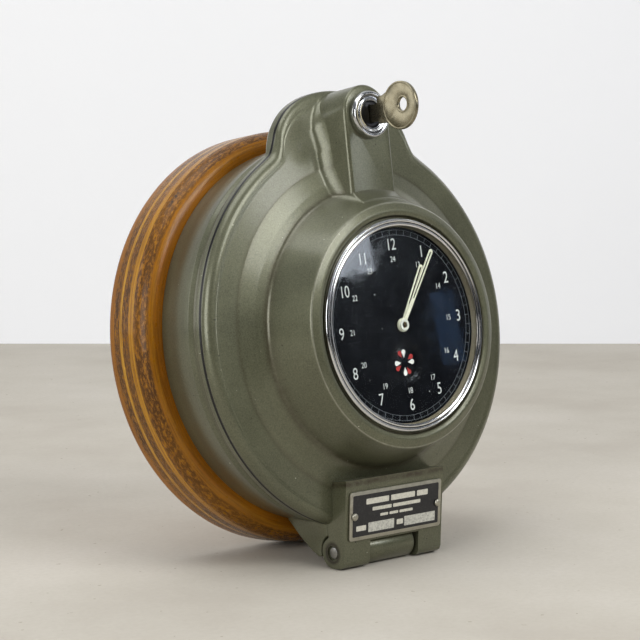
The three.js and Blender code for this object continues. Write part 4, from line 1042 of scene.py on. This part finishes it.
# %% Lock and key
AT_LOCK = Matrix.Translation((0, 0, LOCK_Z))
collar_profile = fillet_path([(6.5, 11.3), (6.6, 10.5, 0.2), (7.5, 10.3, 0.4), (8.1, 11.0, 0.4),
                              (8.9, 10.9, 0.4), (9.5, 9.8, 0.5), (10.8, 9.75, 0.9), (11.25, 11.2, 0.3),
                              (11.25, 13.4, 0.1), (9.2, 13.4), (9.2, 34.7), (6.5, 34.7)], 5)
collar_bm = moved(spun(collar_profile, 96), AT_LOCK)
piece("lock_collar_turned", collar_bm, COLLAR, "cover", ["lock_body"], 40)
plug_profile = fillet_path([(0.001, 10.9), (6.2, 10.9, 0.3), (6.2, 34.7, 0.2), (2.6, 34.7), (2.6, 36.6),
                            (0.001, 36.6)], 3)
plug_bm = spun(plug_profile, 64)
plug_bm = boolean(plug_bm, slab([(-1.3, -4.5), (1.3, -4.5), (1.3, 4.5), (-1.3, 4.5)], 8, 31.5))
plug_bm = boolean(plug_bm, slab(circle(1.3, 20), 33, 38))
piece("lock_plug_turned", moved(plug_bm, AT_LOCK), DARK_STEEL, "lock", ["lock_plug"], 35)

bow = arc(-9.8, 102, 11.3, 42, 322, 56)
blade = [(3.2, 95.4), (5.4, 95.4), (5.4, 96.7), (26, 96.7), (30.5, 100.3), (27.5, 105.1), (24, 103.5),
         (21, 104.7), (18, 103.1), (15, 105.1), (5.4, 105.1), (5.4, 108.4), (1.5, 108.4)]
key_hole = arc(-11.7, 102.3, 3.1, 0, 360, 31)[:-1]
key_bm = bmesh.new()
key_edges = []
for outline in (bow + blade, key_hole):
    key_edges += new_loop(key_bm, [(-0.8, y, z) for y, z in outline])
bmesh.ops.triangle_fill(key_bm, use_beauty=True, use_dissolve=False, edges=key_edges)
key_bm = thicken(key_bm, Vector((1.6, 0, 0)), 0.2)
rims = []
for cy, cz, inner, outer in ((-9.8, 102, 10.25, 11.25), (-11.7, 102.3, 3.15, 4.1)):
    corners = [(inner, -1.0, 0.3), (outer, -1.0, 0.3), (outer, 1.0, 0.3), (inner, 1.0, 0.3)]
    rim_profile = fillet_path(corners, 3)
    flat_on = Matrix.Translation((0, cy, cz)) @ Matrix.Rotation(math.pi / 2, 4, "Z")
    rims.append(moved(spun(rim_profile, 96), flat_on))
piece("key_flat", gathered(key_bm, *rims), KEY_METAL, "key", ["key"], 30)
print("lock and key ready")

# %% [markdown]
# ## Inside
#
# The movement, chart and pendulum recorder stay as they were machined in the solid model. They get
# the finishes such parts have: lacquered brass plates and wheels, bright steel, waxed chart paper.

# %% Inside
def chart_finish():
    """Waxed paper printed with red-brown rings and a ray for each hour."""
    f = Finish("waxed_chart_paper", Roughness=0.7)
    point = f.case()
    parts = f.add("SeparateXYZ", point, out=None)
    radius = f.radius(parts)
    turn = f.add("Math", parts["X"], parts["Z"], operation="ARCTAN2")
    hour = f.add("Math", f.add("Math", turn, 24 / math.tau, operation="MULTIPLY"), 0.5,
                 operation="PINGPONG")
    ray = f.add("Math", f.add("Math", hour, radius, operation="MULTIPLY"), 0.9, operation="LESS_THAN")
    inside = f.add("Math", f.add("Math", radius, 26.0, operation="GREATER_THAN"),
                   f.add("Math", radius, 58.0, operation="LESS_THAN"), operation="MULTIPLY")
    ring = f.add("Math",
                 f.add("Math", f.add("Math", radius, 4.0, operation="DIVIDE"), 0.5, operation="PINGPONG"),
                 0.035, operation="LESS_THAN")
    ink = f.add("Math", f.add("Math", ray, ring, operation="MAXIMUM"), inside, operation="MULTIPLY")
    fibre = f.add("TexNoise", Vector=point, Scale=0.6, Detail=4, Roughness=0.6)
    base = f.add("ValToRGB", fibre, stops=[(0.3, "e3dcc6"), (0.7, "efe9d8")])
    f.set("Base Color",
          f.add("Mix", f.add("Math", ink, 0.7, operation="MULTIPLY"), base, colour("7a3b30"),
                data_type="RGBA"))
    f.set("Normal", f.add("Bump", Height=fibre, Strength=0.1, Distance=0.05 * MM))
    return f.material


FINISHES = {"steel": STEEL, "brass": BRASS, "chart_paper": chart_finish(), "chrome": CHROME,
            "plate_aluminium": ALUMINIUM, "dial_black": LACQUER, "case_paint": CASE_PAINT}
SLOT_OF = {part["node"]: part["material_slot"] for part in frame["record"]["subparts"]}
dressed = 0
for name, node in frame["nodes"].items():
    if node.hide_render:
        continue
    node.data.materials.clear()
    node.data.materials.append(FINISHES[SLOT_OF[name]])
    dressed += 1
print("machined parts dressed:", dressed)

# %% [markdown]
# ## Stage
#
# The clock stands on a pale, slightly stained concrete floor in front of a light wall. Softboxes
# hang above it, in front and on both sides. A narrow one lays a small highlight on the lobe, and two
# weak cards stand where the flat glass mirrors them.

# %% Stage
def floor_finish():
    """Cast concrete: dull, cloudy and pale, with fine grit and a few stains."""
    f = Finish("pale_concrete", Roughness=0.8)
    point = f.add("Mapping", Vector=f.add("TexCoord", out="Object"), Scale=(1 / MM, 1 / MM, 1 / MM))
    cloud = f.add("TexNoise", Vector=point, Scale=0.006, Detail=5, Roughness=0.6)
    base = f.add("ValToRGB", cloud, stops=[(0.35, "b8b1a5"), (0.5, "c0baae"), (0.65, "c6c0b5")])
    fine = f.add("TexNoise", Vector=point, Scale=0.35, Detail=4, Roughness=0.7)
    base = f.add("Mix", f.add("MapRange", fine, 0.4, 0.7, 0.0, 0.25), base, colour("aaa294"),
                 data_type="RGBA")
    specks = f.add("MapRange", f.add("TexNoise", Vector=point, Scale=0.16, Detail=2, Roughness=0.8), 0.71,
                   0.73)
    base = f.add("Mix", f.add("Math", specks, 0.75, operation="MULTIPLY"), base, colour("8d8069"),
                 data_type="RGBA")
    f.set("Base Color", base)
    f.set("Normal", f.add("Bump", Height=fine, Strength=0.2, Distance=0.3 * MM))
    return f.material


def wall_finish():
    """Matt wall paint that glows a little, so the background is even."""
    f = Finish("light_wall", Roughness=0.95)
    shade = f.add("TexNoise", Vector=f.add("TexCoord", out="Object"), Scale=0.8, Detail=2, Roughness=0.5)
    base = f.add("ValToRGB", shade, stops=[(0.3, "e3e4e7"), (0.7, "e7e8ea")])
    f.set("Base Color", base)
    f.set("Emission Color", base)
    f.set("Emission Strength", 0.25)
    return f.material


def plane(name, size_x, size_y, matrix, material):
    """A flat stage surface."""
    bm = bmesh.new()
    bmesh.ops.create_grid(bm, x_segments=4, y_segments=4, size=0.5)
    bmesh.ops.scale(bm, vec=(size_x, size_y, 1), verts=bm.verts)
    bmesh.ops.transform(bm, matrix=matrix, verts=bm.verts)
    mesh = bpy.data.meshes.new(name)
    bm.to_mesh(mesh)
    bm.free()
    mesh.materials.append(material)
    item = bpy.data.objects.new(name, mesh)
    bpy.context.scene.collection.objects.link(item)


EYE = Vector((-0.62861, -0.70883, 0.20905))
AIM = Vector((-0.05357, -0.05134, 0.12056))
LOOK = (AIM - EYE).normalized()
flat = Vector((LOOK.x, LOOK.y, 0)).normalized()
WALL_AWAY = EYE.dot(flat) + 1.84
wall_turn = math.atan2(flat.x, flat.y)
floor_turn = Matrix.Rotation(-wall_turn, 4, "Z")
FLOOR_LENGTH = 2 * WALL_AWAY + 4
floor_place = Matrix.Translation(flat * (WALL_AWAY - FLOOR_LENGTH / 2)) @ floor_turn
plane("floor", 9, FLOOR_LENGTH, floor_place, floor_finish())
wall_foot = Matrix.Translation(flat * WALL_AWAY + Vector((0, 0, 2)))
wall_place = wall_foot @ floor_turn @ Matrix.Rotation(math.pi / 2, 4, "X")
plane("wall", 9, 4, wall_place, wall_finish())


def area(name, place, target, width, height, power, tint="ffffff"):
    """A rectangular softbox turned to a target. Sizes are metres and power is watts."""
    lamp = bpy.data.lights.new(name, "AREA")
    lamp.shape = "RECTANGLE"
    lamp.size = width
    lamp.size_y = height
    lamp.energy = power
    lamp.color = colour(tint)[:3]
    item = bpy.data.objects.new(name, lamp)
    turn = (Vector(target) - Vector(place)).to_track_quat("-Z", "Y").to_matrix().to_4x4()
    item.matrix_world = Matrix.Translation(place) @ turn
    bpy.context.scene.collection.objects.link(item)


area("softbox_top", (-0.3, 0.1, 1.5), (0, 0, 0.12), 1.0, 1.0, 9)
area("softbox_front", (0.22, -1.17, 1.02), (0, 0, 0.12), 0.75, 0.6, 9.5)
area("softbox_left", (-1.25, -0.45, 0.5), (0, 0, 0.12), 0.7, 0.7, 8)
area("softbox_back_left", (-1.05, 0.85, 0.5), (0, 0, 0.12), 0.7, 0.8, 3.6)
area("softbox_right", (1.3, 0.2, 0.8), (0, 0, 0.12), 0.7, 0.7, 2.5)
area("softbox_narrow", (0.62, -0.95, 0.58), (0, 0, 0.18), 0.16, 0.2, 1.2)
glass_normal = -AXIS


def card(name, x, z, away, width, height, power, tint):
    """A small soft card placed where the flat glass shows it to the camera."""
    point = CASE @ Vector((x, 0.5, z))
    ray = (point - EYE).normalized()
    mirrored = ray - 2 * ray.dot(glass_normal) * glass_normal
    area(name, point + mirrored * away, point, width, height, power, tint)


card("window_card", -63, 56, 0.8, 0.12, 0.13, 0.19, "dfe6f2")
card("blue_card", 27, -3, 0.8, 0.02, 0.065, 0.0022, "6f9ad6")

world = bpy.data.worlds.new("studio")
world.use_nodes = True
sky = world.node_tree
direction = sky.nodes.new("ShaderNodeTexCoord")
height = sky.nodes.new("ShaderNodeSeparateXYZ")
shade = sky.nodes.new("ShaderNodeValToRGB")
sky.links.new(direction.outputs["Generated"], height.inputs[0])
sky.links.new(height.outputs["Z"], shade.inputs[0])
for element, (position, code) in zip(shade.color_ramp.elements, ((0.3, "3c3e42"), (0.75, "d5d9df"))):
    element.position = position
    element.color = colour(code)
sky.links.new(shade.outputs["Color"], sky.nodes["Background"].inputs["Color"])
sky.nodes["Background"].inputs["Strength"].default_value = 0.5
bpy.context.scene.world = world
bpy.context.scene.view_settings.view_transform = "Standard"

camera_data = bpy.data.cameras.new("camera")
camera_data.lens = 109.5
camera_data.sensor_width = 36
camera = bpy.data.objects.new("camera", camera_data)
camera.matrix_world = Matrix.Translation(EYE) @ LOOK.to_track_quat("-Z", "Y").to_matrix().to_4x4()
bpy.context.scene.collection.objects.link(camera)
bpy.context.scene.camera = camera
print("stage ready")

# %% Finish
print("pieces:", len(MADE))
